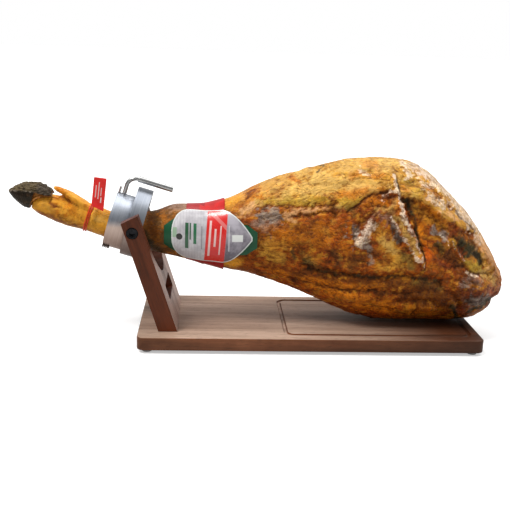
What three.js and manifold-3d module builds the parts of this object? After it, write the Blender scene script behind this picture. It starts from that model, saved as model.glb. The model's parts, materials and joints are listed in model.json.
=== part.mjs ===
// A whole cured ham held in its carving stand, in millimetres, +Z up.
// Inside the group `bench`, X runs along the board towards the butt of the ham, Y away from its
// near edge, and Z = 0 is the board's top face. The exported group's own frame has +X and +Y the
// same way, with its origin under the middle of the whole object at the bottom of the feet.
import * as THREE from "three";
import { mergeVertices } from "three/addons/utils/BufferGeometryUtils.js";
import Module from "manifold-3d";

const wasm = await Module();
wasm.setup();

// ---- driving dimensions ----
const GAP = 0.3; // between pieces that touch
const BOARD = { length: 500, depth: 200, thick: 19, corner: 10, ease: 1.2 };
const GROOVE = { left: 214, right: 485, front: 20, back: 180, width: 6.5, depth: 3, corner: 12 };
const FOOT = { radius: 7, height: 5, inset: 14 };
const PIVOT = { x: -7, z: 144 }; // axis of the two bolts that carry the clamp
const POST = { lean: 18.35, thick: 25.8, width: 148, base: 29.4, leftTop: 157, rightTop: 168.8 };
const NOTCH = { radius: 57, below: 23 }; // the fork's opening, its round part centred below the pivot
const SLOT = { below: 107, width: 77, height: 23, corner: 4 }; // hand slot through the post
const BOLT = { headRadius: 8, headHeight: 8, radius: 4, hexRadius: 4.4, hexDepth: 4.5, grip: 4 };
const SINK = { radius: 8.6, depth: 9, clearance: 0.3 };
const SPACER = { radius: 8, thick: 4.6 };
const CLAMP_TILT = 16.2; // the clamp's axis runs down towards the butt by this much
const BIG_RING = { radius: 51.4, wall: 6.5, length: 22, edge: 0.8 };
const SMALL_RING = { radius: 40.7, wall: 6, length: 27, edge: 0.8, low: 5.5 };
const JAW = { halfAngle: 34, length: 10, teeth: 8, tooth: 2.2, inner: 30.6 };
const SCREW = { radius: 3, entry: 9.6, reach: 22, rise: 13.5, bend: 14, inSleeve: 9 };
const SLEEVE = { radius: 4.5, bore: 3.3, length: 52 };
const PIN = { radius: 1.6, height: 9.5, entry: 24.8 };
const HAM = { squareness: 2.15, rows: 52, around: 28, tiltFrom: -60, tiltTo: 50, tilt: 18 };
const RIBBON = { from: 67, to: 121, base: 0.9, thick: 0.6 };
const BACKING = { from: 35, to: 169, base: 2.3, thick: 0.6 };
const CARD = { from: 46, to: 162, base: 3.6, thick: 0.7 };
const TAG = { width: 17, height: 49, thick: 1.2, lean: 6.5, x: -59.5, y: 82, z: 161.5 };
const STRAP = { radius: 1.1, stand: 1.5, from: -75, pitch: 3.2, turns: 2 };

// Stations of the ham from the foot to the butt: place along X, top and bottom of the outline,
// and half the width across.
const STATIONS = [
  { x: -156, top: 184, bottom: 162, side: 16 },
  { x: -142, top: 185.5, bottom: 152.5, side: 19.5 },
  { x: -122, top: 183, bottom: 143, side: 20 },
  { x: -98, top: 178, bottom: 134, side: 20 },
  { x: -74, top: 171.5, bottom: 128.5, side: 18.5 },
  { x: -48, top: 160, bottom: 119, side: 19 },
  { x: -14, top: 158, bottom: 110, side: 24 },
  { x: 20, top: 162.5, bottom: 101, side: 31 },
  { x: 52, top: 170.5, bottom: 94, side: 37 },
  { x: 92, top: 174, bottom: 83.5, side: 42 },
  { x: 132, top: 184.5, bottom: 76, side: 48 },
  { x: 172, top: 206, bottom: 68, side: 55 },
  { x: 214, top: 221.5, bottom: 54, side: 60 },
  { x: 262, top: 236, bottom: 33, side: 66 },
  { x: 312, top: 247, bottom: 10, side: 70.5 },
  { x: 362, top: 252, bottom: 1.2, side: 72.5 },
  { x: 408, top: 240, bottom: 0.4, side: 70 },
  { x: 448, top: 206, bottom: 0.4, side: 64 },
  { x: 484, top: 170, bottom: 1.5, side: 55 },
  { x: 512, top: 133, bottom: 8, side: 45 },
  { x: 533, top: 101, bottom: 24, side: 32 },
  { x: 545, top: 81, bottom: 41, side: 18 },
  { x: 549, top: 71, bottom: 51, side: 7 },
];

// Folds and hollows of the dried surface: a line in X and Z on the near or far side, how wide the
// fold is and how far it stands out (or sinks in, below zero).
const FOLDS = [
  { side: "near", line: [[356, 234], [368, 207], [380, 174], [393, 142], [404, 104]], width: 11, height: 6 },
  { side: "near", line: [[378, 204], [390, 183], [402, 165], [412, 138]], width: 13, height: -8 },
  { side: "near", line: [[279, 90], [331, 86], [390, 81], [441, 77]], width: 9, height: -5 },
  { side: "near", line: [[300, 56], [380, 50], [450, 48]], width: 19, height: 5 },
  { side: "near", line: [[472, 58], [494, 50]], width: 22, height: 5 },
  { side: "near", line: [[280, 191], [320, 198], [350, 209]], width: 10, height: -4 },
  { side: "near", line: [[190, 150], [250, 142], [310, 128]], width: 22, height: 4 },
  { side: "far", line: [[230, 120], [330, 130], [430, 110]], width: 45, height: 7 },
  { side: "far", line: [[300, 50], [380, 40], [460, 45]], width: 14, height: -4 },
  { side: "both", line: [[42, 171], [62, 173]], width: 10, height: 3.5 },
  { side: "both", line: [[438, 226], [456, 204]], width: 13, height: 3 },
  { side: "both", line: [[521, 46], [534, 34]], width: 9, height: -4 },
];

// Claws: place along X, top (the sole), bottom (the wall) and half the width.
const CLAW_STATIONS = [
  { x: -188, top: 190.5, bottom: 187, half: 1.6 },
  { x: -184, top: 194, bottom: 181, half: 5 },
  { x: -176, top: 197.5, bottom: 172.5, half: 8 },
  { x: -166, top: 200, bottom: 165, half: 9.6 },
  { x: -157, top: 200.5, bottom: 164, half: 10 },
  { x: -148, top: 199, bottom: 172, half: 9.8 },
  { x: -139, top: 195, bottom: 176, half: 9.2 },
  { x: -131, top: 189, bottom: 177, half: 7.6 },
  { x: -127, top: 184.5, bottom: 179, half: 4 },
];
const CLAW = { apart: 10.4, around: 10, rows: 11, clear: 0.4 };
const DEWCLAW = {
  apart: 10.5,
  around: 10,
  rows: 6,
  clear: 0.4,
  line: [[-126, 192.6], [-121, 191.4], [-113, 188.5], [-103, 183.5], [-90, 175.5]],
  radii: [1.2, 3.6, 5.8, 7.8, 8.6],
};

// ---- materials ----
const material = (color, roughness, metalness = 0) =>
  new THREE.MeshStandardMaterial({ color, roughness, metalness });
const WALNUT = material(0x6f4632, 0.55);
const WALNUT_DARK = material(0x5a2f20, 0.5);
const RUBBER = material(0x8c8984, 0.8);
const ALUMINIUM = material(0xb9bfc8, 0.32, 1);
const STEEL = material(0xd2d2d2, 0.2, 1);
const BLACK_STEEL = material(0x1b1c1e, 0.4, 0.8);
const NYLON = material(0x2a2a2c, 0.6);
const CURED = material(0xc98a3c, 0.5);
const HORN = material(0x2c211a, 0.35);
const TOE = material(0xd9a656, 0.5);
const CARD_STOCK = material(0xdcdadf, 0.3);
const GREEN_FILM = material(0x1f6b45, 0.4);
const RED_FILM = material(0xd8231c, 0.35);

// ---- helpers ----
const rad = THREE.MathUtils.degToRad;
const smooth = THREE.MathUtils.smoothstep;
const CENTRE_Y = BOARD.depth / 2;
const ALONG = new THREE.Vector3(Math.cos(rad(CLAMP_TILT)), 0, -Math.sin(rad(CLAMP_TILT)));
const OUTWARD = new THREE.Vector3(Math.sin(rad(CLAMP_TILT)), 0, Math.cos(rad(CLAMP_TILT)));
const ACROSS = new THREE.Vector3(0, 1, 0);

// A point given by its distance along the clamp's axis from the pivot, and out from that axis.
function clampPoint(along, out, across = 0) {
  return new THREE.Vector3(PIVOT.x, CENTRE_Y, PIVOT.z)
    .addScaledVector(ALONG, along)
    .addScaledVector(OUTWARD, out)
    .addScaledVector(ACROSS, across);
}

function merged(geometry) {
  const bare = geometry.index ? geometry.toNonIndexed() : geometry.clone();
  bare.deleteAttribute("normal");
  bare.deleteAttribute("uv");
  return mergeVertices(bare, 1e-3);
}

function solid(geometry) {
  const g = merged(geometry);
  return new wasm.Manifold(
    new wasm.Mesh({
      numProp: 3,
      vertProperties: g.attributes.position.array,
      triVerts: new Uint32Array(g.index.array),
    }),
  );
}

function geometryOf(manifold) {
  const mesh = manifold.getMesh();
  const places = new Float32Array(mesh.numVert * 3);
  for (let i = 0; i < mesh.numVert; i++) {
    const at = i * mesh.numProp;
    places.set(mesh.vertProperties.subarray(at, at + 3), i * 3);
  }
  const g = new THREE.BufferGeometry();
  g.setAttribute("position", new THREE.BufferAttribute(places, 3));
  g.setIndex(new THREE.BufferAttribute(mesh.triVerts, 1));
  g.computeVertexNormals();
  return g;
}

const cut = (geometry, ...tools) =>
  geometryOf(tools.reduce((body, tool) => body.subtract(solid(tool)), solid(geometry)));

// A closed surface through rows of points, each row a closed ring; the ends are filled by fans.
function loft(rows, joined = false) {
  const around = rows[0].length;
  const points = rows.flat();
  const index = [];
  const spans = joined ? rows.length : rows.length - 1;
  for (let r = 0; r < spans; r++) {
    const next = ((r + 1) % rows.length) * around;
    for (let k = 0; k < around; k++) {
      const a = r * around + k;
      const b = r * around + ((k + 1) % around);
      const c = next + k;
      const d = next + ((k + 1) % around);
      index.push(a, c, b, b, c, d);
    }
  }
  if (!joined) {
    const middle = (row) =>
      row.reduce((sum, p) => sum.add(p), new THREE.Vector3()).divideScalar(row.length);
    const last = (rows.length - 1) * around;
    points.push(middle(rows[0]), middle(rows[rows.length - 1]));
    for (let k = 0; k < around; k++) {
      const after = (k + 1) % around;
      index.push(points.length - 2, k, after);
      index.push(points.length - 1, last + after, last + k);
    }
  }
  const g = new THREE.BufferGeometry().setFromPoints(points);
  g.setIndex(index);
  g.computeVertexNormals();
  return g;
}

// A thin closed sheet: at(u, v, layer) gives its inner (layer 0) and outer (layer 1) points.
function sheet(at, across, along) {
  const rows = [];
  for (let i = 0; i <= along; i++) {
    const row = [];
    for (let j = 0; j <= across; j++) row.push(at(i / along, j / across, 1));
    for (let j = across; j >= 0; j--) row.push(at(i / along, j / across, 0));
    rows.push(row);
  }
  return loft(rows);
}

function roundedRectangle(x0, y0, x1, y1, r) {
  const s = new THREE.Shape();
  s.moveTo(x0 + r, y0);
  s.lineTo(x1 - r, y0);
  s.absarc(x1 - r, y0 + r, r, -Math.PI / 2, 0);
  s.lineTo(x1, y1 - r);
  s.absarc(x1 - r, y1 - r, r, 0, Math.PI / 2);
  s.lineTo(x0 + r, y1);
  s.absarc(x0 + r, y1 - r, r, Math.PI / 2, Math.PI);
  s.lineTo(x0, y0 + r);
  s.absarc(x0 + r, y0 + r, r, Math.PI, 1.5 * Math.PI);
  return s;
}

// A turned piece: profile points are [radius, place along the axis], and the axis starts at
// `from` and runs in `direction`.
function turned(profile, from, direction, segments = 48) {
  const g = new THREE.LatheGeometry(
    profile.map(([r, y]) => new THREE.Vector2(r, y)),
    segments,
  );
  const turn = new THREE.Quaternion().setFromUnitVectors(ACROSS, direction);
  return g.applyQuaternion(turn).translate(from.x, from.y, from.z);
}

const group = new THREE.Group();
const bench = new THREE.Group();
group.add(bench);

function place(parent, name, geometry, finish) {
  const mesh = new THREE.Mesh(geometry, finish);
  mesh.name = name;
  parent.add(mesh);
  return mesh;
}

// ---- the board, with its juice groove and four feet ----
function boardGeometry() {
  const { length, depth, thick, corner, ease } = BOARD;
  const outline = roundedRectangle(ease, ease, length - ease, depth - ease, corner);
  const slab = new THREE.ExtrudeGeometry(outline, {
    depth: thick - 2 * ease,
    curveSegments: 4,
    bevelSize: ease,
    bevelThickness: ease,
    bevelSegments: 1,
  });
  const half = GROOVE.width / 2;
  const ring = (grow, r) =>
    roundedRectangle(
      GROOVE.left - grow,
      GROOVE.front - grow,
      GROOVE.right + grow,
      GROOVE.back + grow,
      r,
    );
  const track = ring(half, GROOVE.corner + half);
  track.holes.push(ring(-half, GROOVE.corner - half));
  const groove = new THREE.ExtrudeGeometry(track, {
    depth: 2 * GROOVE.depth,
    curveSegments: 4,
    bevelEnabled: false,
  });
  groove.translate(0, 0, -GROOVE.depth);
  return cut(slab.translate(0, 0, ease - thick), groove);
}

function footGeometry() {
  const { radius, height } = FOOT;
  const top = -GAP;
  const profile = [[0, -height], [radius - 1, -height], [radius, 1 - height], [radius, top], [0, top]];
  return turned(profile, new THREE.Vector3(), new THREE.Vector3(0, 1, 0), 12).rotateX(Math.PI / 2);
}

const stand = new THREE.Group();
bench.add(stand);
place(stand, "board", boardGeometry(), WALNUT);
[
  [FOOT.inset, FOOT.inset],
  [BOARD.length - FOOT.inset, FOOT.inset],
  [FOOT.inset, BOARD.depth - FOOT.inset],
  [BOARD.length - FOOT.inset, BOARD.depth - FOOT.inset],
].forEach(([x, y], i) =>
  place(stand, "foot_" + (i + 1), footGeometry(), RUBBER).position.set(x, y, -BOARD.thick),
);

// ---- the leaning post, forked at its top ----
const UP_POST = new THREE.Vector3(-Math.sin(rad(POST.lean)), 0, Math.cos(rad(POST.lean)));
const THROUGH_POST = new THREE.Vector3(Math.cos(rad(POST.lean)), 0, Math.sin(rad(POST.lean)));
const POST_NEAR = CENTRE_Y - POST.width / 2;
const POST_FAR = CENTRE_Y + POST.width / 2;

// Cuts a flat outline, drawn from the pivot across and up the post, right through it.
function throughPost(outline, curveSegments) {
  const reach = 60;
  const tool = new THREE.ExtrudeGeometry(outline, {
    depth: 2 * reach,
    curveSegments,
    bevelEnabled: false,
  });
  tool.translate(0, 0, -reach);
  const frame = new THREE.Matrix4().makeBasis(ACROSS, UP_POST, THROUGH_POST);
  frame.setPosition(PIVOT.x, CENTRE_Y, PIVOT.z);
  return tool.applyMatrix4(frame);
}

function postGeometry() {
  const slope = Math.tan(rad(POST.lean));
  const foot = POST.thick / Math.cos(rad(POST.lean));
  const side = new THREE.Shape([
    new THREE.Vector2(POST.base - GAP * slope, GAP),
    new THREE.Vector2(POST.base + foot - GAP * slope, GAP),
    new THREE.Vector2(POST.base + foot - POST.rightTop * slope, POST.rightTop),
    new THREE.Vector2(POST.base - POST.leftTop * slope, POST.leftTop),
  ]);
  const plank = new THREE.ExtrudeGeometry(side, { depth: POST.width, bevelEnabled: false });
  plank.rotateX(Math.PI / 2).translate(0, POST_FAR, 0);

  const notch = new THREE.Shape();
  notch.moveTo(NOTCH.radius, 60);
  notch.lineTo(-NOTCH.radius, 60);
  notch.lineTo(-NOTCH.radius, -NOTCH.below);
  notch.absarc(0, -NOTCH.below, NOTCH.radius, Math.PI, 2 * Math.PI);
  const halfHeight = SLOT.height / 2;
  const halfWidth = SLOT.width / 2;
  const slot = roundedRectangle(
    -halfWidth,
    -SLOT.below - halfHeight,
    halfWidth,
    -SLOT.below + halfHeight,
    SLOT.corner,
  );
  const holeRadius = BOLT.radius + SINK.clearance;
  const hole = new THREE.CylinderGeometry(holeRadius, holeRadius, POST.width + 20, 16);
  hole.translate(PIVOT.x, CENTRE_Y, PIVOT.z);
  const sinks = [POST_NEAR, POST_FAR].map((y) =>
    new THREE.CylinderGeometry(SINK.radius, SINK.radius, 2 * SINK.depth, 20).translate(
      PIVOT.x,
      y,
      PIVOT.z,
    ),
  );
  return cut(plank, throughPost(notch, 14), throughPost(slot, 3), hole, ...sinks);
}
place(stand, "post", postGeometry(), WALNUT_DARK);

// ---- the two pivot bolts, each with a spacer between the fork and the big ring ----
const RING_HOLE = BOLT.radius + 0.3;
const armInner = CENTRE_Y - NOTCH.radius;

function boltGeometry(direction) {
  const face = POST_NEAR + 0.8;
  const tip = CENTRE_Y - BIG_RING.radius + BOLT.grip;
  const long = tip - face;
  const under = BOLT.headHeight;
  const profile = [
    [0, 0],
    [BOLT.headRadius - 0.8, 0],
    [BOLT.headRadius, 0.8],
    [BOLT.headRadius, under],
    [BOLT.radius, under],
    [BOLT.radius, long],
    [0, long],
  ];
  const from = new THREE.Vector3(PIVOT.x, CENTRE_Y - direction * (CENTRE_Y - face), PIVOT.z);
  const along = new THREE.Vector3(0, direction, 0);
  const socket = new THREE.CylinderGeometry(BOLT.hexRadius, BOLT.hexRadius, 2 * BOLT.hexDepth, 6);
  socket.translate(from.x, from.y, from.z);
  return cut(turned(profile, from, along, 16), socket);
}

function spacerGeometry(direction) {
  const bore = BOLT.radius + 0.3;
  const start = armInner + GAP;
  const { radius, thick } = SPACER;
  const profile = [[bore, 0], [radius, 0], [radius, thick], [bore, thick], [bore, 0]];
  const from = new THREE.Vector3(PIVOT.x, CENTRE_Y - direction * (CENTRE_Y - start), PIVOT.z);
  return turned(profile, from, new THREE.Vector3(0, direction, 0), 14);
}

[["near", 1], ["far", -1]].forEach(([side, direction]) => {
  place(stand, "bolt_" + side, boltGeometry(direction), BLACK_STEEL);
  place(stand, "spacer_" + side, spacerGeometry(direction), NYLON);
});

// ---- the clamp: a big ring on the pivot bolts, a small ring with a jaw, and the ham's screw ----
const clamp = new THREE.Group();
bench.add(clamp);

function ringGeometry({ radius, wall, length, edge }, start, low, tools) {
  const inner = radius - wall;
  const profile = [
    [inner, 0],
    [radius - edge, 0],
    [radius, edge],
    [radius, length - edge],
    [radius - edge, length],
    [inner, length],
    [inner, 0],
  ];
  return cut(turned(profile, clampPoint(start, -low), ALONG, 38), ...tools);
}

const bigStart = -BIG_RING.length / 2;
const smallStart = bigStart - GAP - SMALL_RING.length;

function bigRingGeometry() {
  const long = 2 * BIG_RING.radius + 20;
  const bore = new THREE.CylinderGeometry(RING_HOLE, RING_HOLE, long, 14);
  bore.translate(PIVOT.x, CENTRE_Y, PIVOT.z);
  return ringGeometry(BIG_RING, bigStart, 0, [bore]);
}

// The jaw's room in the small ring, drawn in the plane across the clamp's axis.
function jawSector(halfAngle, inner, outer) {
  const s = new THREE.Shape();
  const down = -Math.PI / 2;
  s.absarc(0, 0, outer, down - halfAngle, down + halfAngle);
  s.absarc(0, 0, inner, down + halfAngle, down - halfAngle, true);
  return s;
}

function alongClamp(outline, start, length) {
  const g = new THREE.ExtrudeGeometry(outline, {
    depth: length,
    curveSegments: 10,
    bevelEnabled: false,
  });
  const frame = new THREE.Matrix4().makeBasis(ACROSS, OUTWARD, ALONG);
  frame.setPosition(clampPoint(start, -SMALL_RING.low));
  return g.applyMatrix4(frame);
}

function smallRingGeometry() {
  const room = jawSector(rad(JAW.halfAngle), SMALL_RING.radius - 12, SMALL_RING.radius + 6);
  const screwBore = new THREE.CylinderGeometry(SCREW.radius + 0.3, SCREW.radius + 0.3, 30, 12);
  screwBore.applyQuaternion(new THREE.Quaternion().setFromUnitVectors(ACROSS, OUTWARD));
  const through = clampPoint(smallStart + SCREW.entry, SMALL_RING.radius - SMALL_RING.low - 3);
  screwBore.translate(through.x, through.y, through.z);
  return ringGeometry(SMALL_RING, smallStart, SMALL_RING.low, [
    alongClamp(room, smallStart - 5, JAW.length + 5),
    screwBore,
  ]);
}

// The jaw fills the cut in the small ring; saw teeth stand round its outer edge.
function jawGeometry() {
  const clear = 0.4 / SMALL_RING.radius;
  const half = rad(JAW.halfAngle) - clear;
  const down = -Math.PI / 2;
  const base = SMALL_RING.radius - 2.4;
  const s = new THREE.Shape();
  const step = (2 * half) / JAW.teeth;
  const at = (radius, angle) => [radius * Math.cos(angle), radius * Math.sin(angle)];
  s.moveTo(...at(base, down - half));
  for (let i = 0; i < JAW.teeth; i++) {
    const start = down - half + i * step;
    s.lineTo(...at(base + JAW.tooth, start + 0.25 * step));
    s.lineTo(...at(base, start + step));
  }
  s.absarc(0, 0, JAW.inner, down + half, down - half, true);
  return alongClamp(s, smallStart + 0.6, JAW.length - 1);
}

place(clamp, "collar_outer", bigRingGeometry(), ALUMINIUM);
place(clamp, "collar_inner", smallRingGeometry(), ALUMINIUM);
place(clamp, "grip_jaw", jawGeometry(), BLACK_STEEL);

function pinGeometry() {
  const { radius, height, entry } = PIN;
  const out = SMALL_RING.radius - SMALL_RING.low + GAP;
  const from = clampPoint(smallStart + SMALL_RING.length - entry, out);
  const profile = [[0, 0], [radius, 0], [radius, height - 0.6], [radius - 0.6, height], [0, height]];
  return turned(profile, from, OUTWARD, 12);
}
place(clamp, "lock_pin", pinGeometry(), STEEL);

// The screw is one bent rod: in through the small ring, up, round a quarter turn, and along into
// its sleeve.
const screwFoot = clampPoint(
  smallStart + SCREW.entry,
  SMALL_RING.radius - SMALL_RING.low - SCREW.reach,
);
const bendStart = screwFoot.clone().addScaledVector(OUTWARD, SCREW.reach + SCREW.rise);
const bendEnd = bendStart
  .clone()
  .addScaledVector(OUTWARD, SCREW.bend)
  .addScaledVector(ALONG, SCREW.bend);
const screw = new THREE.Group();
clamp.add(screw);

class BentRod extends THREE.Curve {
  getPoint(t, target = new THREE.Vector3()) {
    const rise = SCREW.reach + SCREW.rise;
    const arc = (Math.PI / 2) * SCREW.bend;
    const s = t * (rise + arc + SCREW.inSleeve);
    if (s <= rise) return target.copy(screwFoot).addScaledVector(OUTWARD, s);
    if (s >= rise + arc) return target.copy(bendEnd).addScaledVector(ALONG, s - rise - arc);
    const turn = (s - rise) / SCREW.bend;
    return target
      .copy(bendStart)
      .addScaledVector(OUTWARD, SCREW.bend * Math.sin(turn))
      .addScaledVector(ALONG, SCREW.bend * (1 - Math.cos(turn)));
  }
}

function rodGeometry() {
  const section = new THREE.Shape().absarc(0, 0, SCREW.radius, 0, 2 * Math.PI);
  return new THREE.ExtrudeGeometry(section, {
    steps: 17,
    curveSegments: 5,
    bevelEnabled: false,
    extrudePath: new BentRod(),
  });
}

function sleeveGeometry() {
  const { radius, bore, length } = SLEEVE;
  const profile = [
    [bore, 0],
    [radius - 0.6, 0],
    [radius, 0.6],
    [radius, length - 0.6],
    [radius - 0.6, length],
    [bore, length],
    [bore, 0],
  ];
  return turned(profile, bendEnd, ALONG, 16);
}
place(screw, "clamp_screw", rodGeometry(), STEEL);
place(screw, "screw_sleeve", sleeveGeometry(), STEEL);

// ---- the ham ----
const outlineOf = (key) =>
  new THREE.CatmullRomCurve3(
    STATIONS.map((s) => new THREE.Vector3(s.x, s[key[0]], s[key[1]])),
    false,
    "catmullrom",
    0.5,
  );
const heights = outlineOf(["top", "bottom"]);
const widths = outlineOf(["side", "side"]);

// Where along the stations (0 to 1) the ham's middle line passes a given X.
function stationAt(x) {
  let low = 0;
  let high = 1;
  for (let i = 0; i < 24; i++) {
    const middle = (low + high) / 2;
    if (heights.getPoint(middle).x < x) low = middle;
    else high = middle;
  }
  return low;
}

function distanceToLine(x, z, line) {
  let best = Infinity;
  for (let i = 0; i + 1 < line.length; i++) {
    const [ax, az] = line[i];
    const [bx, bz] = line[i + 1];
    const along = ((x - ax) * (bx - ax) + (z - az) * (bz - az)) / ((bx - ax) ** 2 + (bz - az) ** 2);
    const t = THREE.MathUtils.clamp(along, 0, 1);
    best = Math.min(best, Math.hypot(x - ax - t * (bx - ax), z - az - t * (bz - az)));
  }
  return best;
}

// How far the dried surface stands out at a place; `near` is 1 on the near side, -1 on the far.
function relief(x, z, near) {
  let out = 0;
  for (const fold of FOLDS) {
    const facing = { near: smooth(near, 0, 0.5), far: smooth(-near, 0, 0.5), both: 1 }[fold.side];
    const off = distanceToLine(x, z, fold.line) / fold.width;
    out += facing * fold.height * Math.exp(-off * off);
  }
  const butt = smooth(x, 120, 420);
  const rolling = Math.sin(x / 23 + z / 31) * Math.sin(z / 27 - x / 47 + near);
  return out + (0.5 + 2 * butt) * rolling * smooth(z, 2, 40);
}

// A point of the ham: t runs from foot to butt, angle from 0 at the near side over the top.
function hamPoint(t, angle, stand = 0) {
  const { x, y: top, z: bottom } = heights.getPoint(t);
  const side = widths.getPoint(t).y;
  const tilt = rad(HAM.tilt) * (1 - smooth(x, HAM.tiltFrom, HAM.tiltTo));
  const half = ((top - bottom) / 2) * Math.cos(tilt);
  const power = 2 / HAM.squareness;
  const c = Math.sign(Math.cos(angle)) * Math.abs(Math.cos(angle)) ** power;
  const s = Math.sign(Math.sin(angle)) * Math.abs(Math.sin(angle)) ** power;
  const z = (top + bottom) / 2 + half * s;
  const normal = new THREE.Vector2(c / side, s / half).normalize();
  const out = stand + relief(x, z, c) * smooth(top - bottom, 20, 60);
  const lift = half * s + out * normal.y;
  return new THREE.Vector3(
    x + lift * Math.sin(tilt),
    CENTRE_Y - side * c - out * normal.x,
    (top + bottom) / 2 + lift * Math.cos(tilt),
  );
}

function hamGeometry(stand = 0) {
  const rows = [];
    for (let i = 0; i <= HAM.rows; i++) {
    const row = [];
    for (let k = 0; k < HAM.around; k++)
      row.push(hamPoint(i / HAM.rows, (2 * Math.PI * k) / HAM.around, stand));
    rows.push(row);
  }
  return loft(rows);
}
place(clamp, "ham", hamGeometry(), CURED);

// ---- claws and dewclaws, cut clear of the foot ----
function clawGeometry(direction) {
  const curve = (a, b) =>
    new THREE.CatmullRomCurve3(CLAW_STATIONS.map((s) => new THREE.Vector3(s.x, s[a], s[b])));
  const edges = curve("top", "bottom");
  const halves = curve("half", "half");
  const rows = [];
  for (let i = 0; i <= CLAW.rows; i++) {
    const { x, y: top, z: bottom } = edges.getPoint(i / CLAW.rows);
    const half = Math.max(halves.getPoint(i / CLAW.rows).y, 1);
    const row = [];
    for (let k = 0; k < CLAW.around; k++) {
      const angle = (2 * Math.PI * k) / CLAW.around;
      const y = CENTRE_Y + direction * CLAW.apart - half * Math.cos(angle);
      row.push(new THREE.Vector3(x, y, (top + bottom) / 2 + ((top - bottom) / 2) * Math.sin(angle)));
    }
    rows.push(row);
  }
  return cut(loft(rows), hamGeometry(CLAW.clear));
}

function dewclawGeometry(direction) {
  const spine = new THREE.CatmullRomCurve3(
    DEWCLAW.line.map(([x, z], i) => new THREE.Vector3(x, DEWCLAW.radii[i], z)),
  );
  const rows = [];
  for (let i = 0; i <= DEWCLAW.rows; i++) {
    const { x, y: radius, z } = spine.getPoint(i / DEWCLAW.rows);
    const row = [];
    for (let k = 0; k < DEWCLAW.around; k++) {
      const angle = (2 * Math.PI * k) / DEWCLAW.around;
      const lift = 0.85 * radius * Math.sin(angle);
      const y = CENTRE_Y + direction * DEWCLAW.apart - radius * Math.cos(angle);
      row.push(new THREE.Vector3(x + 0.45 * lift, y, z + lift));
    }
    rows.push(row);
  }
  return cut(loft(rows), hamGeometry(DEWCLAW.clear));
}

[["near", -1], ["far", 1]].forEach(([side, direction]) => {
  place(clamp, "hoof_" + side, clawGeometry(direction), HORN);
  place(clamp, "dewclaw_" + side, dewclawGeometry(direction), TOE);
});

// ---- what is wrapped round the leg: a ribbon, a backing and a card on the near side ----
function ribbonGeometry() {
  const along = 3;
  const around = 28;
  const rows = [];
  for (let k = 0; k < around; k++) {
    const angle = (-2 * Math.PI * k) / around;
    const row = [];
    const at = (j, stand) => {
      const x = THREE.MathUtils.lerp(RIBBON.from, RIBBON.to, j / along);
      return hamPoint(stationAt(x), angle, stand);
    };
    for (let j = 0; j <= along; j++) row.push(at(j, RIBBON.base + RIBBON.thick));
    for (let j = along; j >= 0; j--) row.push(at(j, RIBBON.base));
    rows.push(row);
  }
  return loft(rows, true);
}

// Half the angle that the backing and the card cover round the leg, from their left end (0) to
// their right end (1).
const backingSpan = (u) => rad(3 + 45 * (1 - (2 * u - 1) ** 4) ** 0.5 * (1 - 0.36 * u));
function cardSpan(u) {
  const round = 0.2;
  const taper = 0.62;
  const widest = 54 - 15 * smooth(u, round, taper);
  if (u < round) return rad(8 + (widest - 8) * Math.sqrt(1 - (1 - u / round) ** 2));
  if (u < taper) return rad(widest);
  return rad(2.5 + (widest - 2.5) * (1 - ((u - taper) / (1 - taper)) ** 1.5));
}

function patchGeometry({ from, to, base, thick }, span, raise, across, along) {
  return sheet(
    (u, v, layer) => {
      const ease = 0.5 - 0.5 * Math.cos(Math.PI * u);
      const x = THREE.MathUtils.lerp(from, to, ease);
      const angle = rad(raise) + span(ease) * (2 * v - 1);
      return hamPoint(stationAt(x), angle, base + thick * layer);
    },
    across,
    along,
  );
}
place(clamp, "ribbon", ribbonGeometry(), RED_FILM);
place(clamp, "label_backing", patchGeometry(BACKING, backingSpan, 1, 8, 10), GREEN_FILM);
place(clamp, "label_card", patchGeometry(CARD, cardSpan, 5, 9, 12), CARD_STOCK);

// ---- the tag standing at the shank, and its strap ----
function tagGeometry() {
  const outline = new THREE.Shape([
    new THREE.Vector2(-TAG.width / 2, 3),
    new THREE.Vector2(TAG.width / 2, 0),
    new THREE.Vector2(TAG.width / 2, TAG.height),
    new THREE.Vector2(-TAG.width / 2, TAG.height + 0.6),
  ]);
  const g = new THREE.ExtrudeGeometry(outline, { depth: TAG.thick, bevelEnabled: false });
  g.rotateZ(-rad(TAG.lean));
  return g.rotateX(Math.PI / 2).translate(TAG.x, TAG.y, TAG.z);
}

// Each turn of the strap is a closed loop that follows the shank.
function strapGeometry(turn) {
  const around = 20;
  const section = 5;
  const rows = [];
  const x = STRAP.from - turn * STRAP.pitch;
  const centre = (k) => hamPoint(stationAt(x), (2 * Math.PI * k) / around, STRAP.stand);
  for (let k = 0; k < around; k++) {
    const middle = centre(k);
    const ahead = centre(k + 1).sub(centre(k - 1)).normalize();
    const out = new THREE.Vector3().crossVectors(ahead, ALONG).normalize();
    const over = new THREE.Vector3().crossVectors(out, ahead);
    const row = [];
    for (let j = 0; j < section; j++) {
      const angle = (2 * Math.PI * j) / section;
      row.push(
        middle
          .clone()
          .addScaledVector(out, STRAP.radius * Math.cos(angle))
          .addScaledVector(over, STRAP.radius * Math.sin(angle)),
      );
    }
    rows.push(row);
  }
  return loft(rows, true);
}
place(clamp, "tag", tagGeometry(), RED_FILM);
for (let turn = 0; turn < STRAP.turns; turn++)
  place(clamp, "tag_strap_" + (turn + 1), strapGeometry(turn), RED_FILM);

// ---- the frame: origin under the middle of the whole object ----
bench.updateMatrixWorld(true);
const bounds = new THREE.Box3().setFromObject(bench, true);
const middle = bounds.getCenter(new THREE.Vector3());
bench.position.set(-middle.x, -middle.y, -bounds.min.z);

export default group;
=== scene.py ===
"""A cured ham in its carving stand: the finishes and fine shapes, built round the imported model.

Lengths inside the shaping functions are millimetres from the board's left end (X), from the middle
plane (Y, away from the near side) and from the board's top face (Z); placed() gives metres in the
model's frame.
"""
import contextlib
import json
import math

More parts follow.
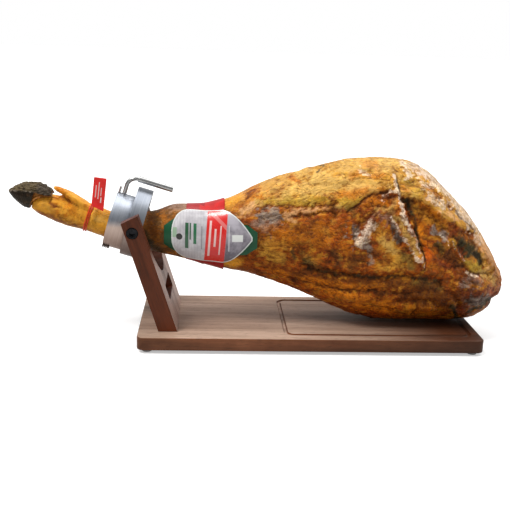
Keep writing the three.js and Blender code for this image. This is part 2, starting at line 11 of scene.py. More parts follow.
import bpy
import numpy as np
from bpy.props import FloatProperty, FloatVectorProperty, IntProperty, PointerProperty
from mathutils import Matrix, Vector, noise
from mathutils.bvhtree import BVHTree


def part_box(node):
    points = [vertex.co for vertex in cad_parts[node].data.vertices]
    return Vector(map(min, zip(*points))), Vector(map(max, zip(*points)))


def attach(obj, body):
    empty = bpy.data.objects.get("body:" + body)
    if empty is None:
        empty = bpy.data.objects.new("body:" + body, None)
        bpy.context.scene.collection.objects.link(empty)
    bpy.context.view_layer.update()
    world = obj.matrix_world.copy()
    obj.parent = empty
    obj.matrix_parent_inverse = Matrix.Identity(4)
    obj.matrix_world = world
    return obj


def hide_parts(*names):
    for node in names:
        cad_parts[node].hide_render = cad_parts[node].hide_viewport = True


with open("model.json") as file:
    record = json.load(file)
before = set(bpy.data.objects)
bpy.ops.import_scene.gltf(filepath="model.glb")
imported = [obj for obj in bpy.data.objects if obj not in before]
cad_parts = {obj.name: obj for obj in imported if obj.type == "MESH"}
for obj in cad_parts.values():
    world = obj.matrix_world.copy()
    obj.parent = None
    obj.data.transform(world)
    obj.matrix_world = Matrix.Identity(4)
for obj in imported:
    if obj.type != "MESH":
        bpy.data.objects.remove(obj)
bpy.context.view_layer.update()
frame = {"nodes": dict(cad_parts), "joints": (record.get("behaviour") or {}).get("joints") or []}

bl_info = {
    "name": "Cured ham in its stand",
    "version": (1, 0, 0),
    "blender": (4, 5, 0),
    "location": "View3D > Sidebar > Ham stand",
    "description": "Builds the finished pieces of a cured ham held in a wooden carving stand",
    "category": "Add Mesh",
}

# ---- places that the construction gives ----
MM = 0.001
BOARD_LOW, BOARD_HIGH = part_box("board")
ORIGIN = Vector((BOARD_LOW.x, 0.0, BOARD_HIGH.z))
JOINTS = {joint["name"]: joint for joint in frame["joints"]}
PIVOT = Vector(JOINTS["clamp_tilt"]["pos_m"])
SCREW_FOOT = Vector(JOINTS["screw_turn"]["pos_m"])
OUTWARD = Vector(JOINTS["screw_turn"]["axis"]).normalized()
ALONG = Vector((OUTWARD.z, 0.0, -OUTWARD.x))
ACROSS = Vector((0.0, 1.0, 0.0))
CLAMP_TILT = math.atan2(OUTWARD.x, OUTWARD.z)
BOLT_HOLE_RADIUS = 0.0043
LARGE_RING_LENGTH = 22.0


def placed(x, y, z):
    """A point of the model's frame, in metres, from board millimetres."""
    return ORIGIN + Vector((x, y, z)) * MM


def clamp_place(along, out):
    """A point from its millimetres along the clamp's axis from the pivot and out from that axis."""
    return PIVOT + (ALONG * along + OUTWARD * out) * MM


# ---- sizes and colours that a user would change ----
def length_setting(name, description, default):
    return FloatProperty(
        name=name, description=description, default=default, unit="LENGTH", subtype="DISTANCE",
    )


def colour_setting(name, description, default):
    return FloatVectorProperty(
        name=name, description=description, default=default, size=3, subtype="COLOR", min=0.0, max=1.0,
    )


class HamStandSizes(bpy.types.PropertyGroup):
    """Sizes of the pieces that are modelled here."""

    board_corner: length_setting("Board corner", "Radius of the board's corners", 0.010)
    edge_round: length_setting("Edge rounding", "Rounding of the wooden edges", 0.0012)
    post_lean: FloatProperty(
        name="Post lean", description="How far the post leans away from the butt",
        default=math.radians(18.35), unit="ROTATION", subtype="ANGLE",
    )
    post_width: length_setting("Post width", "Width of the post across the board", 0.148)
    skin_grain: length_setting("Skin mesh size", "Distance between the points of the skin", 0.00205)
    fold_depth: FloatProperty(
        name="Fold depth", description="How deep the ham's folds and wrinkles are, 1 as dried",
        default=1.0, subtype="FACTOR",
    )
    round_steps: IntProperty(
        name="Round steps", description="Number of faces round each turned piece", default=128,
    )


class HamStandColours(bpy.types.PropertyGroup):
    """Main colours of the finishes."""

    walnut: colour_setting("Walnut", "Middle tone of the oiled wood", (0.178, 0.064, 0.028))
    red: colour_setting("Red film", "Ribbon and tag", (0.70, 0.015, 0.012))
    green: colour_setting("Green film", "Backing under the card", (0.008, 0.085, 0.034))


# ---- shader helpers ----
def add_node(tree, kind, inputs=None, **settings):
    """Adds a node; inputs maps a socket's name or number to a value or to another node's output."""
    node = tree.nodes.new(kind)
    for name, value in settings.items():
        setattr(node, name, value)
    for key, value in (inputs or {}).items():
        if isinstance(value, bpy.types.NodeSocket):
            tree.links.new(value, node.inputs[key])
        else:
            node.inputs[key].default_value = value
    return node


def maths(tree, operation, a, b=0.0, c=0.0):
    return add_node(tree, "ShaderNodeMath", {0: a, 1: b, 2: c}, operation=operation).outputs[0]


def remap(tree, value, low, high, to_low=0.0, to_high=1.0):
    inputs = {"Value": value, "From Min": low, "From Max": high, "To Min": to_low, "To Max": to_high}
    return add_node(tree, "ShaderNodeMapRange", inputs).outputs[0]


def between(tree, share, low, high):
    """From `low` where the share is 0 to `high` where it is 1."""
    return remap(tree, share, 0.0, 1.0, low, high)


def times(tree, a, b):
    return maths(tree, "MULTIPLY", a, b)


def scaled_sum(tree, value, scale, added):
    return maths(tree, "MULTIPLY_ADD", value, scale, added)


def opaque(colour):
    return colour if isinstance(colour, bpy.types.NodeSocket) else (*tuple(colour)[:3], 1.0)


def mix(tree, factor, a, b, blend="MIX"):
    inputs = {0: factor, 6: opaque(a), 7: opaque(b)}
    return add_node(tree, "ShaderNodeMix", inputs, data_type="RGBA", blend_type=blend).outputs[2]


def tinted(tree, colour, tint):
    return mix(tree, 1.0, colour, tint, "MULTIPLY")


def ramp(tree, value, stops):
    """A colour ramp; stops are (place, colour)."""
    node = add_node(tree, "ShaderNodeValToRGB", {0: value})
    band = node.color_ramp
    while len(band.elements) < len(stops):
        band.elements.new(0.5)
    for element, (place, colour) in zip(band.elements, stops):
        element.position = place
        element.color = opaque(colour)
    return node.outputs[0]


def noise_value(tree, vector, scale, detail=3.0, roughness=0.55, distortion=0.0):
    inputs = {
        "Vector": vector, "Scale": scale, "Detail": detail,
        "Roughness": roughness, "Distortion": distortion,
    }
    return add_node(tree, "ShaderNodeTexNoise", inputs).outputs[0]


def cells(tree, vector, scale):
    """Distance to the nearest of many scattered points."""
    inputs = {"Vector": vector, "Scale": scale}
    return add_node(tree, "ShaderNodeTexVoronoi", inputs).outputs["Distance"]


def mapped(tree, vector, scale=(1, 1, 1), turn=(0, 0, 0), shift=(0, 0, 0)):
    inputs = {"Vector": vector, "Location": shift, "Rotation": turn, "Scale": scale}
    return add_node(tree, "ShaderNodeMapping", inputs).outputs[0]


def bumped(tree, height, strength, distance):
    inputs = {"Height": height, "Strength": strength, "Distance": distance}
    return add_node(tree, "ShaderNodeBump", inputs).outputs[0]


def object_place(tree):
    return add_node(tree, "ShaderNodeTexCoord").outputs["Object"]


def masks_of(tree, name):
    """The three masks that a colour attribute holds."""
    colour = add_node(tree, "ShaderNodeAttribute", attribute_name=name).outputs["Color"]
    split = add_node(tree, "ShaderNodeSeparateColor", {0: colour})
    return split.outputs[0], split.outputs[1], split.outputs[2]


def parts_of(tree, vector):
    split = add_node(tree, "ShaderNodeSeparateXYZ", {0: vector})
    return split.outputs[0], split.outputs[1], split.outputs[2]


def new_finish(name):
    """An empty material: its node tree and its Principled shader."""
    material = bpy.data.materials.new(name)
    material.use_nodes = True
    return material, material.node_tree, material.node_tree.nodes["Principled BSDF"]


def join_finish(tree, shader, **sockets):
    """Links or sets the shader's sockets, with underscores for the spaces in their names."""
    for name, value in sockets.items():
        socket = shader.inputs[name.replace("_", " ")]
        if isinstance(value, bpy.types.NodeSocket):
            tree.links.new(value, socket)
        else:
            socket.default_value = opaque(value) if isinstance(value, (tuple, list)) else value


def new_group(name, inputs, outputs):
    """An empty node group, its given inputs and its output node; sockets are (name, type, default)."""
    tree = bpy.data.node_groups.new(name, "ShaderNodeTree")
    for label, kind, default in inputs:
        socket = tree.interface.new_socket(name=label, in_out="INPUT", socket_type=kind)
        if default is not None:
            socket.default_value = default
    for label, kind in outputs:
        tree.interface.new_socket(name=label, in_out="OUTPUT", socket_type=kind)
    return tree, tree.nodes.new("NodeGroupInput").outputs, tree.nodes.new("NodeGroupOutput")


def give_out(tree, leave, **results):
    """Links a group's results to its output sockets."""
    for label, value in results.items():
        tree.links.new(value, leave.inputs[label])


def use_group(tree, name, **inputs):
    """Places a shared effect and gives its outputs by name."""
    node = tree.nodes.new("ShaderNodeGroup")
    node.node_tree = bpy.data.node_groups[name]
    for label, value in inputs.items():
        socket = node.inputs[label.replace("_", " ")]
        if isinstance(value, bpy.types.NodeSocket):
            tree.links.new(value, socket)
        else:
            socket.default_value = value
    return node.outputs


VECTOR, FLOAT = "NodeSocketVector", "NodeSocketFloat"


def make_mottle_group():
    """Broad clouds and fine specks of tone, and both together as a height."""
    inputs = [("Vector", VECTOR, None), ("Broad", FLOAT, 30.0), ("Fine", FLOAT, 200.0)]
    outputs = [("Clouds", FLOAT), ("Specks", FLOAT), ("Height", FLOAT)]
    tree, given, leave = new_group("mottle", inputs, outputs)
    clouds = noise_value(tree, given["Vector"], given["Broad"], 4.0, 0.6, 0.4)
    specks = noise_value(tree, given["Vector"], given["Fine"], 5.0, 0.65)
    give_out(
        tree, leave, Clouds=remap(tree, clouds, 0.32, 0.68), Specks=remap(tree, specks, 0.30, 0.70),
        Height=scaled_sum(tree, clouds, 0.5, specks),
    )


def make_timber_group():
    """Straight wood grain along X: figure, dark pores, and the height of the open grain."""
    inputs = [("Vector", VECTOR, None), ("Seed", FLOAT, 0.0)]
    outputs = [("Figure", FLOAT), ("Pores", FLOAT), ("Height", FLOAT)]
    tree, given, leave = new_group("timber", inputs, outputs)
    shift = add_node(tree, "ShaderNodeCombineXYZ", {i: given["Seed"] for i in range(3)})
    moved = add_node(
        tree, "ShaderNodeVectorMath", {0: given["Vector"], 1: shift.outputs[0]}, operation="ADD"
    ).outputs[0]
    bands = noise_value(tree, mapped(tree, moved, (2.2, 38, 38)), 1.0, 3.0, 0.5, 1.2)
    fibres = noise_value(tree, mapped(tree, moved, (14, 420, 420)), 1.0, 4.0, 0.6)
    dashes = noise_value(tree, mapped(tree, moved, (70, 1100, 1100)), 1.0, 2.0, 0.5)
    figure = scaled_sum(tree, bands, 1.6, times(tree, fibres, 0.7))
    pores = remap(tree, dashes, 0.60, 0.70)
    give_out(
        tree, leave, Figure=remap(tree, figure, 0.80, 1.54), Pores=pores,
        Height=maths(tree, "SUBTRACT", fibres, pores),
    )


def make_brushing_group():
    """Fine lines across X, as a lathe or a brush leaves them."""
    inputs = [("Vector", VECTOR, None), ("Lines", FLOAT, 2400.0)]
    outputs = [("Tone", FLOAT), ("Height", FLOAT)]
    tree, given, leave = new_group("brushing", inputs, outputs)
    scale = add_node(tree, "ShaderNodeCombineXYZ", {0: given["Lines"], 1: 7.0, 2: 7.0})
    stretched = add_node(
        tree, "ShaderNodeVectorMath", {0: given["Vector"], 1: scale.outputs[0]},
        operation="MULTIPLY",
    ).outputs[0]
    lines = noise_value(tree, stretched, 1.0, 4.0, 0.7)
    give_out(tree, leave, Tone=remap(tree, lines, 0.30, 0.70), Height=lines)


def make_bar_group():
    """A soft-edged bar of print: 1 between Start and End along it, and within Half on each side."""
    inputs = [(name, FLOAT, 0.0) for name in ("Along", "Around", "Start", "End", "Half", "Middle")]
    tree, given, leave = new_group("print_bar", inputs, [("Mask", FLOAT)])
    soft = 0.0004
    from_start = maths(tree, "SUBTRACT", given["Along"], given["Start"])
    to_end = maths(tree, "SUBTRACT", given["End"], given["Along"])
    off = maths(tree, "ABSOLUTE", maths(tree, "SUBTRACT", given["Around"], given["Middle"]))
    inside = maths(tree, "SUBTRACT", given["Half"], off)
    least = maths(tree, "MINIMUM", maths(tree, "MINIMUM", from_start, to_end), inside)
    give_out(tree, leave, Mask=remap(tree, least, -soft, soft))


def make_ragged_group():
    """Turns a soft mask into one with an uneven, speckled edge, and leaves it 0 where it was 0."""
    inputs = [("Mask", FLOAT, 0.0), ("Noise", FLOAT, 0.5), ("Spread", FLOAT, 0.5)]
    tree, given, leave = new_group("ragged_edge", inputs, [("Mask", FLOAT)])
    centred = maths(tree, "SUBTRACT", given["Noise"], 0.5)
    spread = times(tree, given["Spread"], remap(tree, given["Mask"], 0.0, 0.2))
    moved = scaled_sum(tree, centred, spread, given["Mask"])
    give_out(tree, leave, Mask=remap(tree, moved, 0.18, 0.82))


def make_shared_effects():
    make_mottle_group()
    make_timber_group()
    make_brushing_group()
    make_bar_group()
    make_ragged_group()


# ---- finishes ----
def walnut_finish(name, tone, turn, seed, top_sheen, side_sheen):
    """Oiled walnut, its grain turned by `turn` about Y. A painted sheen lightens its top and right faces by
    the given shares, and painted shade darkens it towards the board's right end, under the ham's shadow."""
    material, tree, shader = new_finish(name)
    place = object_place(tree)
    grain = use_group(tree, "timber", Vector=mapped(tree, place, turn=(0, turn, 0)), Seed=seed)
    dark = tuple(0.55 * c for c in tone)
    light = tuple(1.4 * c for c in tone)
    colour = ramp(tree, grain["Figure"], [(0.0, dark), (0.5, tone), (1.0, light)])
    stain = remap(tree, noise_value(tree, place, 22.0, 3.0), 0.35, 0.7)
    colour = mix(tree, stain, colour, tinted(tree, colour, (0.62, 0.55, 0.50)))
    along, _, height = parts_of(tree, place)
    aside, _, upward = parts_of(tree, add_node(tree, "ShaderNodeTexCoord").outputs["Normal"])
    # painted sheen on the top faces, fading out towards the board's right end
    leftward = remap(tree, along, 0.84 * BOARD_HIGH.x, 0.16)
    pale = times(tree, times(tree, remap(tree, upward, 0.7, 0.95), leftward), top_sheen)
    colour = mix(tree, pale, colour, mix(tree, grain["Figure"], (0.24, 0.145, 0.10), (0.53, 0.365, 0.27)))
    # painted sheen on the right faces below the fork
    below_fork = remap(tree, height, 0.145, 0.115)
    pale = times(tree, times(tree, remap(tree, aside, 0.6, 0.9), below_fork), side_sheen)
    colour = mix(tree, pale, colour, mix(tree, grain["Figure"], (0.33, 0.21, 0.17), (0.60, 0.43, 0.36)))
    # painted shade, darker towards the board's right end where the ham's shadow falls
    dusk = remap(tree, along, 0.04, 0.97 * BOARD_HIGH.x)
    colour = mix(tree, dusk, colour, tinted(tree, colour, (0.32, 0.29, 0.27)))
    colour = mix(tree, times(tree, grain["Pores"], 0.65), colour, (0.03, 0.014, 0.008))
    roughness = between(tree, grain["Figure"], 0.52, 0.40)
    join_finish(
        tree, shader, Base_Color=colour, Roughness=roughness, Specular_IOR_Level=0.36,
        Specular_Tint=(1.0, 0.86, 0.76), Normal=bumped(tree, grain["Height"], 0.35, 0.0004),
    )
    return material


def rubber_finish():
    material, tree, shader = new_finish("foot_rubber")
    mottle = use_group(tree, "mottle", Vector=object_place(tree), Broad=120.0, Fine=1500.0)
    colour = mix(tree, mottle["Clouds"], (0.36, 0.35, 0.34), (0.58, 0.57, 0.56))
    join_finish(
        tree, shader, Base_Color=colour, Roughness=0.62, Normal=bumped(tree, mottle["Specks"], 0.3, 0.0003)
    )
    return material


def aluminium_finish():
    """Brushed metal: lines run round the clamp's axis. The lower half has a painted warm reflection of the
    wood and a painted dark reflection at the bottom, and the large ring is painted darker, standing in
    for its dimmer reflections."""
    material, tree, shader = new_finish("brushed_metal")
    place = mapped(tree, object_place(tree), shift=tuple(-PIVOT))
    turned = mapped(tree, place, turn=(0, -CLAMP_TILT, 0))
    brush = use_group(tree, "brushing", Vector=turned, Lines=2200.0)
    clouds = noise_value(tree, turned, 26.0, 3.0)
    bands = remap(tree, noise_value(tree, mapped(tree, turned, (150, 12, 12)), 1.0, 2.0), 0.2, 0.8)
    lines = scaled_sum(tree, bands, 0.45, times(tree, brush["Tone"], 0.55))
    colour = ramp(
        tree, lines, [(0.1, (0.30, 0.33, 0.38)), (0.5, (0.42, 0.45, 0.51)), (0.9, (0.62, 0.65, 0.70))]
    )
    _, _, height = parts_of(tree, place)
    # painted reflection: the lower half takes the warm tone of the wood it faces
    warm = remap(tree, scaled_sum(tree, clouds, 0.006, height), 0.014, 0.004)
    colour = mix(tree, warm, colour, mix(tree, lines, (0.50, 0.36, 0.29), (0.88, 0.72, 0.64)))
    along, _, _ = parts_of(tree, turned)
    # the large ring is painted darker, standing in for its dimmer reflections
    ring_edge, ease = -LARGE_RING_LENGTH / 2 * MM, 0.0006
    darker = remap(tree, along, ring_edge - ease, ring_edge, 0.0, 0.42)
    colour = mix(tree, darker, colour, (0.12, 0.13, 0.15))
    # painted darker brown towards the bottom, standing in for the dark wood reflected there
    low = remap(tree, height, 0.002, -0.042)
    colour = mix(tree, low, colour, tinted(tree, colour, (0.34, 0.24, 0.20)))
    roughness = remap(tree, maths(tree, "ADD", clouds, brush["Tone"]), 0.4, 1.5, 0.30, 0.46)
    join_finish(
        tree, shader, Base_Color=colour, Metallic=1.0, Roughness=roughness,
        Normal=bumped(tree, brush["Height"], 0.35, 0.0002),
    )
    return material


def steel_finish():
    """Polished round rod with faint drawing marks, and a painted dark reflection along its edges."""
    material, tree, shader = new_finish("polished_steel")
    turned = mapped(tree, object_place(tree), turn=(0, -CLAMP_TILT, 0))
    brush = use_group(tree, "brushing", Vector=turned, Lines=900.0)
    colour = mix(tree, brush["Tone"], (0.45, 0.45, 0.45), (0.53, 0.53, 0.52))
    # painted reflection: darker where the surface turns away from view
    edge = add_node(tree, "ShaderNodeLayerWeight", {"Blend": 0.5}).outputs["Facing"]
    colour = mix(tree, remap(tree, edge, 0.45, 0.85), colour, (0.075, 0.072, 0.068))
    join_finish(
        tree, shader, Base_Color=colour, Metallic=1.0,
        Roughness=between(tree, brush["Tone"], 0.20, 0.26),
        Normal=bumped(tree, brush["Height"], 0.015, 0.0002),
    )
    return material


def black_steel_finish(name, worn_tone, roughness, metallic):
    """Blackened metal or nylon, lighter where it is worn."""
    material, tree, shader = new_finish(name)
    mottle = use_group(tree, "mottle", Vector=object_place(tree), Broad=260.0, Fine=1800.0)
    worn = times(tree, mottle["Clouds"], mottle["Specks"])
    colour = mix(tree, worn, (0.008, 0.008, 0.009), worn_tone)
    join_finish(
        tree, shader, Base_Color=colour, Metallic=metallic,
        Roughness=between(tree, mottle["Specks"], roughness, roughness + 0.14),
        Normal=bumped(tree, mottle["Specks"], 0.12, 0.0002),
    )
    return material


def ham_finish():
    """Dried ham: its painted tones broken up by mottling, streaks and pores, with pale bloom and painted
    glints on its ridges, and painted shade in its crevices, creases and folds.
    """
    material, tree, shader = new_finish("cured_ham_surface")
    place = object_place(tree)
    grain = add_node(tree, "ShaderNodeAttribute", attribute_name="grain").outputs["Vector"]
    paint = add_node(tree, "ShaderNodeAttribute", attribute_name="paint").outputs["Color"]
    body, skin, fold = masks_of(tree, "zones")
    chalk, dark, slate = masks_of(tree, "veil")
    mottle = use_group(tree, "mottle", Vector=place, Broad=70.0, Fine=210.0)
    tiny = noise_value(tree, place, 700.0, 3.0, 0.6)
    streak = noise_value(tree, mapped(tree, grain, (2.0, 0.8, 1.6)), 1.0, 4.0, 0.55, 0.8)
    streak = remap(tree, streak, 0.32, 0.68)

    def valleys(scale, width):
        """0 along thin winding valleys that follow the grain, 1 between them."""
        value = noise_value(tree, mapped(tree, grain, scale), 1.0, 2.0, 0.5, 1.2)
        return remap(tree, maths(tree, "ABSOLUTE", maths(tree, "SUBTRACT", value, 0.5)), 0.0, width)

    crinkle = valleys((5.2, 1.15, 4.0), 0.075)
    crease = valleys((2.3, 0.60, 1.9), 0.034)
    _, richness, _ = parts_of(tree, paint)
    fatty = remap(tree, richness, 0.14, 0.34)
    tone = scaled_sum(tree, mottle["Clouds"], 0.42, times(tree, mottle["Specks"], 0.21))
    tone = scaled_sum(tree, streak, 0.22, tone)
    # the crinkles darken the tone in their valleys: painted shade in the small wrinkles
    tone = scaled_sum(tree, crinkle, 0.15, tone)
    on_body = between(tree, body, 0.6, 1.0)
    gain = times(tree, between(tree, fatty, 1.9, 1.1), on_body)
    tone = scaled_sum(tree, maths(tree, "SUBTRACT", tone, 0.53), gain, 0.56)

    patchy = scaled_sum(tree, streak, 0.4, times(tree, mottle["Specks"], 0.6))

    def ragged(mask, spread):
        return use_group(tree, "ragged_edge", Mask=mask, Noise=patchy, Spread=spread)[0]

    slaty = mix(tree, streak, (0.10, 0.070, 0.066), (0.34, 0.26, 0.235))
    colour = mix(tree, ragged(slate, 0.9), paint, slaty)
    # painted shade in crevices, hollows and under overhangs
    crevice_shade_colour = mix(tree, mottle["Clouds"], (0.010, 0.007, 0.004), (0.040, 0.036, 0.016))
    colour = mix(tree, ragged(dark, 0.8), colour, crevice_shade_colour)
    # pale bloom, with painted highlights and glints on the ridges
    bloom_and_glint_colour = mix(tree, mottle["Specks"], (0.55, 0.36, 0.25), (1.0, 0.87, 0.76))
    colour = mix(tree, times(tree, ragged(chalk, 1.0), 0.82), colour, bloom_and_glint_colour)

    tint = ramp(tree, tone, [
        (0.10, (0.42, 0.30, 0.22)), (0.34, (0.80, 0.73, 0.64)), (0.50, (1.08, 1.06, 1.0)),
        (0.85, (1.12, 1.12, 1.0)),
    ])
    colour = mix(tree, on_body, colour, tinted(tree, colour, tint))
    brighter = mix(tree, 1.0, tinted(tree, colour, (1.25, 1.22, 1.15)), (0.08, 0.038, 0.004), "ADD")
    lift = times(tree, remap(tree, tone, 0.58, 0.84), 0.7)
    colour = mix(tree, lift, colour, brighter)
    # painted shade along the thin crease lines of the body
    lined = maths(tree, "SUBTRACT", 1.0, crease)
    lined = times(tree, lined, remap(tree, mottle["Clouds"], 0.3, 0.7, 0.15, 0.90))
    lined = times(tree, lined, between(tree, body, 0.4, 1.0))
    colour = mix(tree, lined, colour, tinted(tree, colour, (0.40, 0.24, 0.14)))
    # painted shade: darker in folds and hollows, under the shank, by the post and low on the butt
    deep = tinted(tree, colour, (0.27, 0.15, 0.08))
    colour = mix(tree, times(tree, fold, 0.8), colour, deep)
    dots = remap(tree, cells(tree, place, 240.0), 0.08, 0.24, 1.0, 0.0)
    pores = times(tree, dots, remap(tree, mottle["Clouds"], 0.45, 0.75))
    colour = mix(tree, times(tree, pores, 0.45), colour, (0.16, 0.06, 0.012))

    roughness = between(tree, mottle["Clouds"], 0.46, 0.26)
    roughness = scaled_sum(tree, chalk, -0.12, roughness)
    height = scaled_sum(tree, streak, 0.50, mottle["Height"])
    height = scaled_sum(tree, crinkle, 0.50, height)
    height = scaled_sum(tree, crease, 0.50, height)
    height = scaled_sum(tree, tiny, 0.12, height)
    height = scaled_sum(tree, pores, -0.4, height)
    height = times(tree, height, between(tree, skin, 1.0, 0.40))
    join_finish(
        tree, shader, Base_Color=colour, Roughness=roughness, Specular_IOR_Level=0.31,
        Specular_Tint=(1.0, 0.78, 0.46), Normal=bumped(tree, height, 0.62, 0.0020),
    )
    return material


def horn_finish():
    """Claw: glossy black-brown wall, rough olive-grey sole and heel."""
    material, tree, shader = new_finish("claw_horn")
    place = object_place(tree)
    sole, heel, quick = masks_of(tree, "zones")
    grooves, lip, _ = masks_of(tree, "wear")
    mottle = use_group(tree, "mottle", Vector=place, Broad=150.0, Fine=700.0)
    ribs = noise_value(tree, mapped(tree, place, (60, 500, 900)), 1.0, 4.0, 0.6)
    wall = ramp(tree, mottle["Clouds"], [
        (0.0, (0.004, 0.003, 0.002)), (0.6, (0.014, 0.008, 0.005)), (1.0, (0.055, 0.028, 0.013)),
    ])
    ribbed = scaled_sum(tree, mottle["Specks"], 0.6, times(tree, ribs, 0.5))
    olive = ramp(tree, ribbed, [
        (0.15, (0.024, 0.016, 0.008)), (0.5, (0.085, 0.060, 0.028)), (0.9, (0.21, 0.155, 0.080)),
    ])
    dusky = mix(tree, mottle["Specks"], (0.026, 0.019, 0.014), (0.12, 0.092, 0.066))
    colour = mix(tree, sole, wall, olive)
    colour = mix(tree, heel, colour, dusky)
    colour = mix(tree, times(tree, grooves, 0.85), colour, (0.014, 0.010, 0.006))
    colour = mix(tree, times(tree, lip, 0.55), colour, (0.30, 0.25, 0.20))
    colour = mix(tree, quick, colour, (0.34, 0.125, 0.022))
    join_finish(
        tree, shader, Base_Color=colour, Roughness=between(tree, sole, 0.22, 0.62),
        Specular_IOR_Level=0.32, Specular_Tint=(1.0, 0.85, 0.65),
        Normal=bumped(tree, maths(tree, "ADD", ribs, mottle["Specks"]), 0.4, 0.0006),
    )
    return material


def film_finish(name, tone, marked, roughness=0.28):
    """Coloured film in soft creases; `marked` is its tone under the zone mask: painted shade on
    the ribbons, print on the tag.
    """
    material, tree, shader = new_finish(name)
    place = object_place(tree)
    mottle = use_group(tree, "mottle", Vector=place, Broad=55.0, Fine=900.0)
    mark, _, _ = masks_of(tree, "zones")
    low, high = (tuple(min(share * c, 1) for c in tone) for share in (0.72, 1.18))
    colour = mix(tree, mottle["Clouds"], low, high)
    colour = mix(tree, mark, colour, marked)
    join_finish(
        tree, shader, Base_Color=colour, Roughness=roughness, Specular_IOR_Level=0.35,
        Normal=bumped(tree, mottle["Clouds"], 0.25, 0.0015),
    )
    return material


def card_finish():
    """The card's plain print: pale planks with green bars and a dot, a red band with pale bars, a
    grey field with a pale panel, and a bright rim."""
    material, tree, shader = new_finish("shield_card")
    sheet = add_node(tree, "ShaderNodeAttribute", attribute_name="sheet").outputs["Vector"]
    along, around, edge = parts_of(tree, sheet)
    slanted = scaled_sum(tree, around, -0.06, along)
    clouds = noise_value(tree, sheet, 60.0, 3.0)

    def bar(start, end, half, middle=0.0, reach=along):
        return use_group(
            tree, "print_bar", Along=reach, Around=around,
            Start=start * MM, End=end * MM, Half=half * MM, Middle=middle * MM,
        )[0]

    planks = maths(tree, "PINGPONG", along, 0.0021)
    seam = remap(tree, planks, 0.0, 0.0004, 1.0, 0.0)
    base = mix(tree, remap(tree, clouds, 0.3, 0.7), (0.44, 0.42, 0.45), (0.70, 0.68, 0.70))
    colour = mix(tree, times(tree, seam, 0.45), base, (0.30, 0.27, 0.30))
    for start, end, half, middle, ink in (
        (19.5, 24.5, 19.0, -1.0, (0.030, 0.110, 0.050)), (26.0, 28.0, 12.0, 6.0, (0.030, 0.110, 0.050)),
        (31.5, 36.0, 15.0, 3.0, (0.030, 0.160, 0.070)), (42.8, 44.4, 17.0, -2.0, (0.26, 0.25, 0.27)),
        (1.2, 7.5, 7.0, 3.0, (0.36, 0.52, 0.36)),
    ):
        colour = mix(tree, bar(start, end, half, middle), colour, ink)
    dot_place, dot_radius, soft = (0.0112, -0.003, 0.0), 0.0046, 0.0003
    level = mapped(tree, sheet, (1.0, 1.0, 0.0))
    off = add_node(tree, "ShaderNodeVectorMath", {0: level, 1: dot_place}, operation="DISTANCE").outputs[1]
    dot = remap(tree, off, dot_radius + soft, dot_radius - soft)
    colour = mix(tree, dot, colour, (0.020, 0.018, 0.016))
    field = remap(tree, slanted, 0.0782, 0.0788)
    marbled = scaled_sum(tree, around, 9.0, noise_value(tree, sheet, 70.0, 3.0))
    dusk = mix(tree, remap(tree, marbled, 0.25, 0.75), (0.14, 0.125, 0.155), (0.48, 0.45, 0.50))
    colour = mix(tree, field, colour, dusk)
    band = bar(49.5, 78.5, 60.0, 0.0, slanted)
    # painted highlight slanting across the red band
    gleam = bar(-4.0, 3.5, 60.0, 0.0, maths(tree, "SUBTRACT", maths(tree, "ADD", along, around), 0.0935))
    red = mix(tree, times(tree, gleam, 0.4), (0.72, 0.018, 0.014), (0.86, 0.42, 0.40))
    colour = mix(tree, band, colour, red)
    for start, end, half, middle in (
        (53.6, 56.6, 27.0, -3.0), (61.4, 64.2, 13.0, -1.0), (69.3, 71.2, 22.0, -5.0),
    ):
        colour = mix(tree, bar(start, end, half, middle, slanted), colour, (0.86, 0.60, 0.57))
    colour = mix(tree, bar(82.0, 83.4, 19.0, -1.0), colour, (0.66, 0.65, 0.68))
    colour = mix(tree, bar(87.0, 102.5, 5.0), colour, (0.80, 0.82, 0.79))
    rim = remap(tree, edge, 0.0012, 0.0018, 1.0, 0.0)
    colour = mix(tree, rim, colour, (0.72, 0.76, 0.72))
    join_finish(
        tree, shader, Base_Color=colour, Roughness=remap(tree, clouds, 0.3, 0.7, 0.20, 0.30),
        Coat_Weight=0.3, Coat_Roughness=0.08, Normal=bumped(tree, clouds, 0.10, 0.002),
    )
    return material


# ---- modelling helpers ----
def pick_only(*pieces):
    bpy.ops.object.select_all(action="DESELECT")
    for piece in pieces:
        piece.select_set(True)
    bpy.context.view_layer.objects.active = pieces[0]


@contextlib.contextmanager
def editing(piece, kind="VERT"):
    """Edit mode on one piece, with everything in it deselected."""
    pick_only(piece)
    bpy.ops.object.mode_set(mode="EDIT")
    bpy.ops.mesh.select_mode(type=kind)
    bpy.ops.mesh.select_all(action="DESELECT")
    yield
    bpy.ops.object.mode_set(mode="OBJECT")


def pick_parts(piece, kind, test):
    """In edit mode, selects the vertices, edges or faces that pass a test, by their place."""
    bpy.ops.mesh.select_all(action="DESELECT")
    bpy.ops.object.mode_set(mode="OBJECT")
    mesh = piece.data
    if kind == "VERT":
        for vertex in mesh.vertices:
            vertex.select = test(vertex.co)
    elif kind == "EDGE":
        for edge in mesh.edges:
            edge.select = test(*(mesh.vertices[i].co for i in edge.vertices))
    else:
        for face in mesh.polygons:
            face.select = test(face.center, face.normal)
    bpy.ops.object.mode_set(mode="EDIT")


def named(piece, name):
    piece.name = name
    piece.data.name = name
    return piece


def settled(piece):
    """Puts the piece's place, turn and size into its mesh."""
    pick_only(piece)
    bpy.ops.object.transform_apply(location=True, rotation=True, scale=True)
    return piece


def apply_modifier(piece, kind, **settings):
    pick_only(piece)
    modifier = piece.modifiers.new(kind.lower(), kind)
    for name, value in settings.items():
        setattr(modifier, name, value)
    bpy.ops.object.modifier_apply(modifier=modifier.name)


